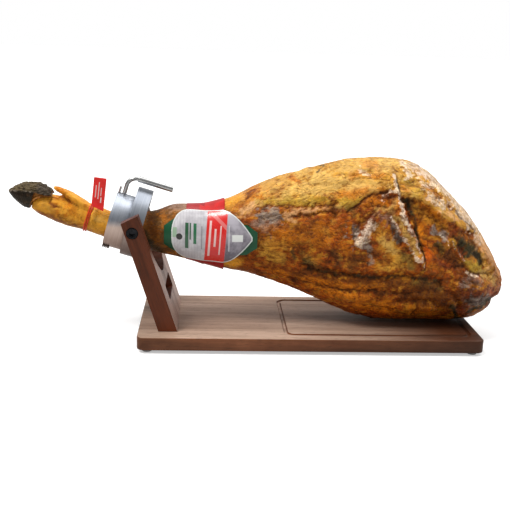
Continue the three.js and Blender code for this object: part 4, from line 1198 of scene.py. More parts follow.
# Veils: pale bloom with painted glints, painted shade in crevices and hollows, grey-purple bloom.
VEILS = {"chalk": 0, "soot": 1, "slate": 2}
STROKES = [
    # the fat over the meat, from the leg to the ridge, with painted shade in a small crack
    ("honey", 11, 0.55, ((140, 184), (176, 200), (210, 212))),
    ("straw", 9, 0.7, ((196, 196), (230, 206), (262, 206))),
    ("straw", 12, 0.6, ((176, 204), (226, 216))),
    ("straw", 6, 0.9, ((210, 203), (228, 206), (252, 205))),
    ("straw", 10, 0.8, ((262, 222), (300, 214), (330, 216))),
    ("straw", 7, 0.7, ((286, 236), (318, 242), (350, 244))),
    ("honey", 5, 0.8, ((220, 218), (226, 212))),
    ("honey", 4, 0.6, ((300, 224), (311, 230), (322, 226))),
    ("honey", 4, 0.7, ((330, 226), (346, 229))),
    ("honey", 5, 0.5, ((324, 243), (338, 240))),
    ("chalk", 4, 0.5, ((318, 232), (326, 228))),
    ("soot", 1.8, 0.8, ((257, 229), (261, 235), (268, 239))),
    ("stain", 3, 0.6, ((172, 192), (196, 196), (204, 206))),
    ("rose", 5, 0.9, ((143, 170), (160, 180), (172, 185))),
    ("rose", 4, 0.7, ((152, 166), (168, 173))),
    ("stain", 2.4, 0.9, ((140, 172), (148, 182), (158, 193), (172, 203))),
    ("mauve", 4, 0.8, ((146, 190), (152, 198))),
    ("leaf", 6, 0.6, ((168, 186), (186, 190), (204, 188))),
    ("stain", 2.6, 0.9, ((155, 165), (166, 176), (182, 181), (204, 182), (240, 184), (262, 184), (275, 188))),
    ("rose", 3.4, 0.75, ((203, 172), (222, 177), (246, 179), (268, 181))),
    ("leaf", 7, 0.6, ((210, 190), (240, 191), (268, 195))),
    ("rose", 6, 0.8, ((206, 167), (219, 162))),
    ("umber", 2.2, 0.85, ((226, 172), (244, 173), (262, 176), (277, 176))),
    ("umber", 5, 0.8, ((268, 180), (278, 180), (277, 170))),
    ("stain", 2, 0.8, ((280, 190), (270, 196), (262, 199))),
    ("leaf", 6, 0.7, ((284, 193), (298, 190), (312, 195))),
    ("honey", 5, 0.7, ((288, 200), (308, 203), (322, 208))),
    ("umber", 2.8, 1.0, ((296, 179), (306, 186), (318, 197), (330, 202), (345, 203), (356, 210))),
    ("honey", 7, 0.6, ((322, 192), (340, 194), (350, 190))),
    ("umber", 2.4, 0.7, ((320, 186), (334, 190), (348, 187))),
    ("olive", 5, 0.5, ((296, 184), (304, 176))),
    # the grey bruise by the label and the meat up to the middle
    ("slate", 9, 1.0, ((171, 167), (184, 170), (196, 169))),
    ("mauve", 6, 0.8, ((168, 156), (184, 158), (197, 160))),
    ("slate", 5, 0.8, ((196, 172), (203, 162))),
    ("umber", 3, 0.9, ((172, 150), (174, 138))),
    ("mauve", 4, 0.6, ((180, 148), (186, 136))),
    ("gold", 11, 0.85, ((180, 120), (196, 112))),
    ("gold", 8, 0.7, ((186, 104), (206, 104))),
    ("honey", 10, 0.5, ((196, 132), (220, 128))),
    ("umber", 12, 0.5, ((214, 150), (246, 152))),
    ("umber", 10, 0.5, ((226, 128), (238, 136))),
    ("mould", 5, 0.8, ((216, 120), (222, 108))),
    ("mould", 6, 0.9, ((242, 104), (249, 94), (262, 89))),
    ("mould", 3, 0.8, ((262, 89), (282, 88))),
    ("olive", 8, 0.5, ((236, 110), (252, 104))),
    ("mould", 6, 0.55, ((278, 120), (286, 110))),
    ("honey", 8, 0.5, ((262, 158), (276, 148))),
    ("honey", 7, 0.5, ((290, 130), (300, 120))),
    ("gold", 4, 0.5, ((266, 152), (270, 144))),
    ("wine", 8, 0.35, ((296, 108), (310, 114))),
    ("olive", 7, 0.4, ((300, 104), (318, 106))),
    # the shiny lump, with its painted highlight, and what is round it
    ("umber", 6, 0.8, ((316, 166), (328, 176), (336, 184))),
    ("wine", 3, 0.7, ((318, 164), (330, 174))),
    ("slate", 7, 0.95, ((306, 156), (306, 142))),
    ("slate", 6, 0.8, ((308, 133), (326, 129))),
    ("mould", 4, 0.5, ((324, 132), (330, 126))),
    ("chalk", 8, 0.9, ((313, 137), (320, 147), (328, 160))),
    ("mauve", 5, 0.6, ((338, 174), (350, 172), (352, 165))),
    ("straw", 5, 0.6, ((336, 182), (356, 184), (364, 196))),
    ("chalk", 3, 0.6, ((345, 196), (356, 210))),
    ("gold", 7, 0.5, ((336, 158), (344, 146))),
    ("gold", 11, 1.0, ((348, 142), (360, 128), (366, 112))),
    ("amber", 7, 0.55, ((346, 142), (356, 130), (362, 116))),
    ("straw", 8, 0.8, ((350, 138), (362, 122))),
    ("gold", 8, 0.8, ((344, 104), (376, 104))),
    ("wine", 3.4, 0.7, ((352, 147), (356, 141))),
    ("stain", 4, 0.8, ((340, 110), (352, 106), (360, 112))),
    ("slate", 5, 0.5, ((328, 118), (332, 108))),
    ("umber", 9, 0.8, ((300, 112), (338, 120))),
    # the ridge, with painted highlights along its crest and painted shade at its foot
    ("slate", 5, 0.95, ((360, 160), (366, 150), (373, 140))),
    ("straw", 5, 0.8, ((368, 170), (378, 154), (388, 138), (394, 124))),
    ("chalk", 1.8, 0.9, ((358, 173), (364, 162), (373, 147), (383, 134), (392, 122), (401, 111))),
    ("chalk", 2.6, 1.0, ((360, 231), (362, 214), (367, 204), (371, 190))),
    ("honey", 4, 0.7, ((366, 196), (368, 184))),
    ("chalk", 3.0, 0.75, ((372, 184), (376, 173), (383, 160), (391, 148))),
    ("chalk", 1.7, 0.8, ((391, 148), (396, 136), (400, 122), (406, 104))),
    ("olive", 8, 0.8, ((384, 116), (390, 104))),
    ("soot", 2.6, 0.9, ((363, 222), (367, 210))),
    # the hollow behind the ridge and the folds to the right of it, with painted shade and painted glints
    ("umber", 6, 0.30, ((384, 186), (400, 175), (424, 161))),
    ("soot", 4.6, 0.80, ((377, 196), (384, 185), (391, 172))),
    ("tan", 10, 0.9, ((400, 176), (416, 166), (436, 157))),
    ("soot", 3.2, 0.85, ((390, 176), (393, 160), (398, 146), (403, 128), (408, 110))),
    ("honey", 6, 0.8, ((396, 193), (410, 186), (424, 175))),
    ("olive", 5, 0.6, ((384, 192), (396, 186))),
    ("flame", 5.5, 0.95, ((398, 160), (404, 149))),
    ("ember", 9, 1.0, ((409, 131), (414, 122), (410, 115))),
    ("flame", 4, 0.8, ((402, 138), (414, 136), (424, 124))),
    ("slate", 7, 0.9, ((420, 154), (436, 144))),
    ("umber", 10, 0.8, ((398, 60), (424, 56), (444, 54))),
    ("umber", 10, 0.8, ((440, 40), (460, 30))),
    ("honey", 12, 0.55, ((196, 148), (230, 142), (262, 138))),
    ("gold", 9, 0.5, ((176, 130), (206, 128))),
    ("chalk", 2.0, 0.7, ((424, 151), (438, 142), (441, 130))),
    ("olive", 6, 0.8, ((428, 136), (436, 126))),
    ("honey", 5, 0.8, ((420, 180), (438, 164), (454, 156), (470, 150))),
    ("wine", 7, 0.8, ((448, 158), (462, 150), (484, 143))),
    ("honey", 5, 0.6, ((462, 146), (480, 140), (496, 132))),
    ("slate", 5, 0.8, ((458, 176), (474, 162), (488, 148))),
    ("chalk", 3, 0.6, ((464, 182), (482, 164), (498, 142))),
    ("rose", 4, 0.7, ((440, 178), (456, 166))),
    ("leaf", 5, 0.6, ((446, 142), (454, 132))),
    ("chalk", 1.2, 0.7, ((443, 143), (456, 127), (470, 109))),
    ("mould", 11, 1.0, ((464, 134), (480, 126), (496, 112))),
    ("mould", 9, 1.0, ((482, 118), (499, 103))),
    ("leaf", 6, 0.9, ((474, 104), (488, 97), (498, 94))),
    ("gold", 5, 0.8, ((503, 116), (508, 102), (518, 88))),
    ("umber", 8, 1.0, ((446, 120), (456, 107), (466, 98))),
    ("wine", 6, 0.6, ((434, 108), (448, 98), (458, 90))),
    ("honey", 5, 0.6, ((420, 104), (436, 96))),
    ("chalk", 1.5, 0.8, ((477, 92), (496, 84))),
    # the pale shoulder over them, with a broad painted highlight along its top outline
    ("leaf", 9, 0.5, ((378, 222), (398, 208))),
    ("chalk", 3.6, 0.85, ((379, 244), (384, 233), (381, 226))),
    ("chalk", 6, 0.6, ((398, 226), (404, 214))),
    ("chalk", 6, 0.7, ((412, 204), (426, 194), (436, 186))),
    ("rose", 5, 0.6, ((398, 232), (410, 226))),
    ("stain", 2.6, 0.7, ((414, 214), (424, 208), (433, 196))),
    ("stain", 4, 0.7, ((444, 188), (454, 180))),
    ("chalk", 13, 0.74, ((400, 238), (420, 224), (446, 204), (476, 176), (500, 146))),
    ("honey", 4, 0.6, ((372, 214), (380, 206))),
    # the dark band and the belly, with painted shade along the band's crease
    ("umber", 9, 1.0, ((246, 88), (290, 84), (340, 78), (400, 74), (438, 68))),
    ("soot", 2.4, 0.6, ((238, 98), (250, 88), (300, 86), (340, 84), (380, 86), (402, 84), (436, 77))),
    ("olive", 7, 0.8, ((398, 77), (420, 74), (438, 68))),
    ("umber", 7, 0.6, ((176, 98), (210, 88), (240, 80))),
    ("flame", 7, 0.8, ((196, 82), (214, 78))),
    ("flame", 9, 0.85, ((246, 66), (280, 56), (320, 48), (372, 38))),
    ("honey", 6, 0.7, ((262, 72), (310, 66), (350, 70))),
    ("umber", 2.6, 0.8, ((215, 73), (245, 67), (290, 60), (340, 61), (392, 55))),
    ("umber", 2.2, 0.6, ((226, 84), (262, 78), (320, 74), (372, 68))),
    ("stain", 2.4, 0.6, ((300, 44), (330, 38), (352, 40))),
    ("flame", 6, 0.8, ((318, 34), (350, 30), (374, 27))),
    ("umber", 13, 1.0, ((384, 58), (410, 52), (446, 44))),
    ("honey", 5, 0.75, ((392, 36), (410, 38))),
    ("honey", 5, 0.6, ((400, 24), (440, 22))),
    ("honey", 4, 0.6, ((424, 34), (442, 32))),
    ("umber", 4, 0.8, ((380, 26), (396, 18), (430, 14))),
    ("umber", 3, 0.8, ((404, 44), (408, 33), (404, 22))),
    # the butt end, with painted shade along its lower part
    ("ember", 5, 0.6, ((450, 66), (456, 56))),
    ("umber", 16, 0.75, ((404, 66), (440, 58), (474, 50))),
    ("umber", 12, 0.7, ((470, 84), (486, 70))),
    ("slate", 8, 0.6, ((464, 76), (482, 76), (496, 70))),
    ("wine", 7, 0.6, ((474, 62), (492, 58))),
    ("mauve", 6, 0.5, ((486, 82), (500, 78))),
    ("slate", 9, 0.9, ((488, 48), (500, 40), (512, 46))),
    ("mauve", 4, 0.8, ((486, 46), (494, 32))),
    ("wine", 6, 0.9, ((476, 34), (482, 26))),
    ("straw", 7, 0.8, ((508, 86), (526, 72))),
    ("rose", 11, 0.85, ((500, 136), (518, 112), (536, 84))),
    ("honey", 5, 0.6, ((530, 96), (538, 80), (540, 62))),
    ("ember", 3, 0.6, ((522, 60), (526, 52))),
    ("soot", 6, 0.9, ((462, 36), (470, 18), (480, 8))),
    ("soot", 7, 0.8, ((494, 26), (512, 36), (526, 42))),
    ("honey", 4, 0.7, ((500, 14), (510, 20))),
    # the leg under the label and by the post, with painted shade beside the post
    ("amber", 10, 0.9, ((74, 96), (100, 96), (140, 94))),
    ("stain", 6, 0.6, ((120, 84), (160, 82), (190, 76))),
    ("amber", 8, 0.8, ((104, 168), (124, 178), (144, 192))),
    ("mauve", 4, 0.8, ((42, 169), (54, 172), (64, 171))),
    ("honey", 6, 0.5, ((34, 158), (40, 140))),
    ("soot", 8, 0.7, ((6, 130), (20, 112), (30, 104))),
    ("umber", 7, 0.6, ((14, 152), (24, 138))),
    # the shank and foot
    ("stain", 3, 0.8, ((-130, 177), (-124, 173), (-117, 168))),
    ("wine", 2, 0.6, ((-126, 174), (-120, 170))),
    ("ember", 4, 0.4, ((-112, 164), (-104, 170))),
    ("honey", 5, 0.7, ((-104, 176), (-96, 166), (-94, 154))),
    ("honey", 4, 0.4, ((-84, 158), (-82, 144))),
    ("gold", 5, 0.6, ((-140, 178), (-134, 170), (-124, 160))),
    ("gold", 4, 0.7, ((-68, 158), (-62, 164))),
    ("stain", 4, 0.7, ((-150, 160), (-130, 152), (-104, 142), (-84, 134))),
    ("umber", 2.4, 0.6, ((-114, 153), (-104, 147), (-94, 140))),
    ("amber", 11, 0.9, ((-72, 154), (-58, 150), (-44, 146))),
    ("straw", 4, 0.5, ((-66, 152), (-52, 148))),
]
# Where the leg's tones give way to the shank's, under the clamp: from and to, along X.
SHANK_START = (-22.0, -34.0)
# The fat's lower edge on the near side, from the leg to the butt: (X, Z).
FAT_EDGE = [
    (60, 185), (104, 170), (128, 166), (150, 166), (166, 176), (182, 180), (211, 183), (262, 184),
    (286, 182), (300, 184), (318, 196), (340, 203), (358, 209), (368, 204), (378, 198), (399, 196),
    (413, 186), (430, 172), (448, 163), (472, 152), (500, 134), (549, 120),
]


def line_offset(x, z, line):
    """Signed distance from each place to a line of points, above zero on the left going along it."""
    best = np.full(len(x), np.inf)
    signed = np.zeros(len(x))
    for (ax, az), (bx, bz) in zip(line, line[1:]):
        dx, dz = bx - ax, bz - az
        share = np.clip(((x - ax) * dx + (z - az) * dz) / (dx * dx + dz * dz), 0.0, 1.0)
        off_x, off_z = x - ax - share * dx, z - az - share * dz
        distance = np.hypot(off_x, off_z)
        closer = distance < best
        best = np.where(closer, distance, best)
        side = np.sign(dx * off_z - dz * off_x)
        signed = np.where(closer, side * distance, signed)
    return signed


def fold_relief(x, z):
    """How far the folds stand out at each place; a fold has its own width on each of its sides."""
    out = np.zeros(len(x))
    for line, left, right, height in FOLDS:
        off = line_offset(x, z, line)
        width = np.where(off > 0, left, right)
        out += height * np.exp(-((off / width) ** 2))
    return out


def blended(colours, other, share):
    """Mixes rows of colours with one tone, or with other rows, by a share for each row."""
    return colours + (np.asarray(other) - colours) * share[:, None]


class HamSurface:
    """The ham's points in board millimetres, with the measures that its relief and colour use."""

    def __init__(self, mesh):
        self.mesh = mesh
        self.points = board_mm(read_points(mesh))
        self.normals = read_normals(mesh)
        x, y, z = self.points.T
        step = 6.0
        bins = ((x - x.min()) / step).astype(int)
        count = bins.max() + 1
        centres = x.min() + (np.arange(count) + 0.5) * step
        top, bottom, half = np.full(count, -np.inf), np.full(count, np.inf), np.zeros(count)
        np.maximum.at(top, bins, z)
        np.minimum.at(bottom, bins, z)
        np.maximum.at(half, bins, np.abs(y))
        kernel = np.array([1.0, 2.0, 3.0, 2.0, 1.0]) / 9.0
        eased = [np.convolve(np.pad(row, 2, "edge"), kernel, "valid") for row in (top, bottom, half)]
        self.top, self.bottom, self.half = (np.interp(x, centres, row) for row in eased)
        least_height, least_half = 8.0, 5.0
        self.height = np.maximum(self.top - self.bottom, least_height)
        self.share = (z - self.bottom) / self.height
        sideways = -y / np.maximum(self.half, least_half)
        self.near = smooth_step(0.02, 0.30, sideways)
        self.far = smooth_step(0.02, 0.30, -sideways)
        self.nearer = smooth_step(-0.35, 0.0, sideways)
        # Along and across the wrinkles, for patterns that follow the ham's length.
        self.grain = np.stack([x, self.share * 200.0, y], 1)
        self.broad = lumps(self.points, 60.0, 3.1)
        self.middling = lumps(self.points, 17.0, 8.4)
        self.fine = lumps(self.points, 6.0, 21.7)
        self.other = lumps(self.points, 14.0, 40.2)
        self.wobble_x = 3.8 * self.middling + 2.2 * self.fine
        self.wobble_z = 3.8 * self.other + 2.2 * lumps(self.points, 6.0, 77.7)
        self.wrinkles = lumps(self.grain, (75.0, 17.0, 60.0), 5.5, 3)
        self.crinkles = lumps(self.grain, (26.0, 7.0, 26.0), 11.9, 2)

    def near_place(self):
        x, _, z = self.points.T
        return x + self.wobble_x, z + self.wobble_z

    def far_place(self):
        """The far side repeats the near one's marks, shifted and bent."""
        x, _, z = self.points.T
        bend = 10.0 * self.broad * smooth_step(-20.0, 60.0, x)
        shift = smooth_step(-20.0, 60.0, x)
        return x + 14.0 * shift + bend + self.wobble_z, z - 5.0 * shift + bend + self.wobble_x

    def shape(self, depth):
        """Moves the points by the folds, wrinkles and lumps of the dried surface."""
        x, y, z = self.points.T
        body = smooth_step(118.0, 190.0, x)
        shank = smooth_step(-20.0, -48.0, x)
        creases = crease_lines(self.wrinkles, 1.6, 0.78)
        small_creases = crease_lines(self.crinkles, 1.6, 0.70)
        rough = body * (0.45 + 0.55 * smooth_step(0.2, -0.3, self.broad))
        out = self.near * fold_relief(*self.near_place()) + self.far * fold_relief(*self.far_place())
        out *= 1.0 - 0.85 * smooth_step(0.86, 0.97, self.share)
        out *= np.where(x > -40.0, 1.1, 0.8)
        out += rough * (1.3 * self.wrinkles - 1.1 * creases + 0.5 * self.crinkles - 0.5 * small_creases)
        out += body * (1.0 * self.middling + 0.35 * self.fine)
        out += (1.0 - body) * (0.35 * self.middling + 0.12 * self.fine + 0.3 * self.wrinkles)
        out += shank * (0.30 * self.fine - 0.35 * small_creases)
        out *= 1.0 - 0.94 * self.under_labels()
        out -= 0.35 * self.under_labels()
        out *= smooth_step(-1.5, 6.0, z) * 0.75 + 0.25
        out *= 1.0 - 0.9 * self.at_strap()
        moved = self.points + self.normals * (out * depth)[:, None]
        clear_of_board = 0.35
        moved[:, 2] = np.maximum(moved[:, 2], clear_of_board)
        self.points = moved
        write_points(self.mesh, np.array(ORIGIN) + moved * MM)
        self.normals = read_normals(self.mesh)

    def under_labels(self):
        """1 where the ribbon, backing and card lie."""
        x, y, z = self.points.T
        ribbon = window(58.0, 66.0, 123.0, 132.0, x)
        middle = (self.top + self.bottom) / 2
        front = self.near * (1.0 - smooth_step(0.78, 0.98, np.abs(z - middle) / (self.height / 2)))
        card = window(28.0, 36.0, 168.0, 178.0, x) * front
        return np.maximum(ribbon, card)

    def at_strap(self):
        """1 where the tag's leaning tie lies."""
        x = self.points[:, 0] + 0.32 * (self.points[:, 2] - 150.0)
        return window(-84.0, -81.5, -74.0, -71.5, x)

    def hollows(self, rounds):
        """How far each point lies under (+) or over (-) its smoothed surroundings, in millimetres."""
        edges = np.empty(len(self.mesh.edges) * 2, np.int32)
        self.mesh.edges.foreach_get("vertices", edges)
        a, b = edges.reshape(-1, 2).T
        total = len(self.points)
        count = np.bincount(a, minlength=total) + np.bincount(b, minlength=total)
        soft = self.points.copy()
        for _ in range(rounds):
            sums = [
                np.bincount(a, soft[b, k], total) + np.bincount(b, soft[a, k], total) for k in range(3)
            ]
            soft = np.stack(sums, 1) / count[:, None]
        return ((soft - self.points) * self.normals).sum(1)

    def ground(self, x, z):
        """The tones that lie under the strokes: fat over meat, then the leg and the shank."""
        patchy = self.middling + 0.8 * self.fine

        def first(tone, other, share):
            """One tone all over, with a share of another one."""
            return blended(np.tile(TONES[tone], (len(x), 1)), TONES[other], share)

        meat = first("meat", "umber", smooth_step(0.0, 0.7, patchy))
        meat = blended(meat, TONES["tan"], 0.8 * smooth_step(0.05, 0.7, -patchy + 0.3 * self.broad))
        fat = first("gold", "straw", smooth_step(-0.4, 0.5, patchy))
        fat = blended(fat, TONES["honey"], 0.6 * smooth_step(0.15, 0.6, self.wrinkles))
        lines = crease_lines(self.crinkles, 1.8, 0.72) * smooth_step(-0.1, 0.3, self.other)
        fat = blended(fat, TONES["stain"], 0.5 * lines)
        edge_x, edge_z = zip(*FAT_EDGE)
        over = smooth_step(-4.0, 4.0, z - np.interp(x, edge_x, edge_z))
        over = over * smooth_step(120.0, 165.0, x + 14.0 * self.middling)
        colours = blended(meat, fat, over)
        leg = first("bark", "honey", 0.5 * smooth_step(-0.2, 0.6, patchy))
        leg_share = 1.0 - smooth_step(96.0, 160.0, x + 20.0 * self.broad + 0.25 * (z - 130.0))
        colours = blended(colours, leg, leg_share)
        amber = first("amber", "honey", smooth_step(0.0, 0.7, patchy))
        return blended(colours, amber, smooth_step(*SHANK_START, x))

    def stroked(self, place):
        """The painted colour, and how much pale bloom with painted glints, painted shade and slate lie
        over it.
        """
        x, z = place
        colours = self.ground(x, z)
        veils = np.zeros((len(x), 3))
        swell = np.clip(1.0 + 0.7 * self.middling + 0.9 * self.fine, 0.35, 2.0)
        for tone, width, strength, line in STROKES:
            reach = np.abs(line_offset(x, z, line)) / (width * swell)
            cover = strength * (1.0 - smooth_step(0.25, 1.4, reach))
            if tone in VEILS:
                column = VEILS[tone]
                veils[:, column] = np.maximum(veils[:, column], cover)
            else:
                colours = blended(colours, TONES[tone], cover)
        return np.column_stack([colours, veils])

    def paint(self):
        """Stores the painted colour, the veils, the zones (body, shank, painted fold shade) and the grain."""
        x, y, z = self.points.T
        layers = blended(self.stroked(self.far_place()), self.stroked(self.near_place()), self.nearer)
        # fold zone: painted shade in hollows, under the shank, beside the post and low on the butt
        close, wide = self.hollows(3), self.hollows(24)
        fold = 0.8 * smooth_step(0.10, 0.6, close) + 0.6 * smooth_step(0.8, 4.0, wide)
        under = (1.0 - smooth_step(0.0, 0.30, self.share)) * smooth_step(-10.0, -50.0, x)
        near_post = np.exp(-(((x - 10.0) / 15.0) ** 2)) * (1.0 - smooth_step(0.45, 0.95, self.share))
        butt = smooth_step(370.0, 470.0, x) * (1.0 - smooth_step(0.25, 0.50, self.share))
        fold = np.maximum(np.maximum(fold, 0.55 * near_post), np.maximum(0.45 * under, 0.38 * butt))
        body = smooth_step(110.0, 160.0, x)
        colour = self.mesh.attributes.new("paint", "FLOAT_COLOR", "POINT")
        rows = np.column_stack([np.clip(layers[:, :3], 0.0, 1.0), np.ones(len(x))])
        colour.data.foreach_set("color", rows.astype(np.float32).ravel())
        store_masks(self.mesh, "zones", body, smooth_step(*SHANK_START, x), fold)
        store_masks(self.mesh, "veil", *layers[:, 3:].T)
        store_vector(self.mesh, "grain", self.grain / np.array([60.0, 9.0, 34.0]))


class HAMSTAND_OT_ham(bpy.types.Operator):
    """Make the ham with its dewclaw toes, folds, wrinkles and colour zones"""

    bl_idname = "hamstand.ham"
    bl_label = "Ham"

    def execute(self, context):
        sizes = context.scene.ham_sizes
        ham = copy_of("ham", "ham_skin")
        with editing(ham):
            bpy.ops.mesh.select_all(action="SELECT")
            bpy.ops.mesh.tris_convert_to_quads()
        apply_modifier(ham, "SUBSURF", levels=2, render_levels=2)
        toes = [self.toe(side) for side in (-1, 1)]
        pick_only(ham, *toes)
        bpy.ops.object.join()
        apply_modifier(ham, "REMESH", mode="VOXEL", voxel_size=sizes.skin_grain)
        apply_modifier(ham, "SMOOTH", factor=0.5, iterations=3)
        surface = HamSurface(ham.data)
        surface.shape(sizes.fold_depth)
        surface.paint()
        shade(ham)
        finish_piece(ham, ham_finish(), "clamp", "cured_ham", "ham", "dewclaw_near", "dewclaw_far")
        return {"FINISHED"}

    @staticmethod
    def toe(side):
        """A dewclaw toe, drawn out from its tip back into the leg, by stations of x, y, z, radius."""
        stations = [
            (-125, 8.0, 194.0, 3.0), (-121, 8.0, 192.8, 5.2), (-114, 8.0, 189.6, 7.0),
            (-105, 8.0, 185.0, 8.4), (-95, 8.0, 178.5, 9.4), (-83, 7.5, 171.0, 10.4),
            (-70, 6.0, 163.0, 10.4),
        ]
        if side > 0:
            stations = [(x + 3.0, y - 1.0, z - 4.5, radius) for x, y, z, radius in stations]
        x, y, z, radius = stations[0]
        bpy.ops.mesh.primitive_circle_add(
            vertices=24, radius=radius * MM, fill_type="NGON", location=placed(x, side * y, z),
            rotation=(0, math.radians(65), 0),
        )
        toe = settled(bpy.context.object)
        with editing(toe, "FACE"):
            bpy.ops.mesh.select_all(action="SELECT")
            for start, end in zip(stations, stations[1:]):
                centre = placed(end[0], side * end[1], end[2])
                step = centre - placed(start[0], side * start[1], start[2])
                bpy.ops.mesh.extrude_region_move(TRANSFORM_OT_translate={"value": step})
                grow = end[3] / start[3]
                bpy.ops.transform.resize(value=(grow, grow, grow), center_override=centre)
            close_up()
        return toe


class HAMSTAND_OT_claws(bpy.types.Operator):
    """Make the two claws of the foot, with wall, sole and heel"""

    bl_idname = "hamstand.claws"
    bl_label = "Claws"

    def execute(self, context):
        material = horn_finish()
        for side in ("near", "far"):
            claw = copy_of("hoof_" + side, "claw_" + side)
            apply_modifier(claw, "REMESH", mode="VOXEL", voxel_size=0.0006)
            apply_modifier(claw, "SMOOTH", factor=0.5, iterations=3)
            self.shape(claw.data, 3.0 if side == "near" else 9.0)
            shade(claw)
            finish_piece(claw, material, "clamp", "horn", "hoof_" + side)
        return {"FINISHED"}

    @staticmethod
    def shape(mesh, seed):
        """Roughens the sole and heel, ribs the wall and draws the quick in; stores their masks."""
        points = board_mm(read_points(mesh))
        normals = read_normals(mesh)
        x, y, z = points.T
        edge = np.interp(x, (-188, -184, -170, -151, -143, -127), (189, 190.3, 190.6, 189.6, 186, 183))
        rough = lumps(points, 4.2, seed)
        sole = smooth_step(-1.0, 1.0, z - edge + 0.8 * rough)
        heel = smooth_step(-152.0, -143.0, x + 2.0 * rough)
        ridges = lumps(points, (15.0, 6.0, 2.4), seed + 4.0, 4)
        grooves = crease_lines(ridges, 2.0, 0.6)
        lip = np.exp(-(((z - edge) / 1.3) ** 2)) * (1.0 - heel)
        growth = np.sin(x * 1.9 + 0.5 * z + rough)
        out = sole * (0.9 * ridges - 1.0 * grooves + 0.4 * rough) + 0.5 * lip
        out += (1.0 - sole) * (0.10 * growth + 0.12 * rough) + heel * 0.8 * rough
        quick = smooth_step(-158.5, -155.0, x - 0.35 * (z - 170.0) + 0.8 * rough) * (1.0 - sole)
        out -= 4.0 * quick * smooth_step(-157.0, -152.0, x)
        write_points(mesh, np.array(ORIGIN) + (points + normals * out[:, None]) * MM)
        store_masks(mesh, "zones", sole, heel * (0.4 + 0.6 * sole), quick)
        worn_lip = lip * smooth_step(-0.2, 0.3, rough)
        store_masks(mesh, "wear", sole * smooth_step(0.2, 0.8, grooves), worn_lip)


# ---- what is wrapped round the leg ----
def skin_reader():
    """Gives a function that finds the skin's outermost point from a centre in a direction."""
    ham = bpy.data.objects["ham_skin"]
    tree = BVHTree.FromPolygons(
        [v.co.copy() for v in ham.data.vertices], [tuple(p.vertices) for p in ham.data.polygons]
    )

    far = 0.15

    def reach(centre, direction):
        hit = tree.ray_cast(centre + direction * far, -direction, far)[0]
        if hit is None:
            raise RuntimeError("the ham's skin was not found under a wrapped piece")
        return hit

    return reach


# Places along the leg, and the height of its middle line over the board at each.
LEG_PLACES = (20, 52, 92, 132, 172)
LEG_HEIGHTS = (131.8, 132.3, 128.8, 130.3, 137.0)


def leg_middle(x):
    return float(np.interp(x, LEG_PLACES, LEG_HEIGHTS))


def leg_direction(angle):
    """Out from the leg's axis; angle 0 faces the near side, a quarter turn faces up."""
    return Vector((0.0, -math.cos(angle), math.sin(angle)))


def wrapped_sheet(name, columns, rows, place, thickness):
    """A fine sheet laid on the skin: place(u, v) gives each point and its (along, around) in metres."""
    bpy.ops.mesh.primitive_grid_add(x_subdivisions=columns, y_subdivisions=rows, size=1.0)
    piece = named(bpy.context.object, name)
    settled(piece)
    mesh = piece.data
    flat = read_points(mesh)
    spots = [place(float(u) + 0.5, float(v) + 0.5) for u, v, _ in flat]
    points = np.array([spot[0] for spot in spots])
    layout = np.array([spot[1] for spot in spots])
    rim = (np.abs(np.abs(flat[:, :2]) - 0.5) < 1e-5).any(1)
    gaps = np.linalg.norm(points[:, None] - points[rim][None], axis=2).min(1)
    write_points(mesh, points)
    store_vector(mesh, "sheet", np.column_stack([layout, gaps]))
    with editing(piece):
        bpy.ops.mesh.select_all(action="SELECT")
        bpy.ops.mesh.remove_doubles(threshold=1e-6)
    if sum(face.normal.y * face.area for face in mesh.polygons) > 0:
        mesh.flip_normals()
    apply_modifier(piece, "SOLIDIFY", thickness=thickness, offset=1.0)
    shade(piece, 50.0)
    return piece


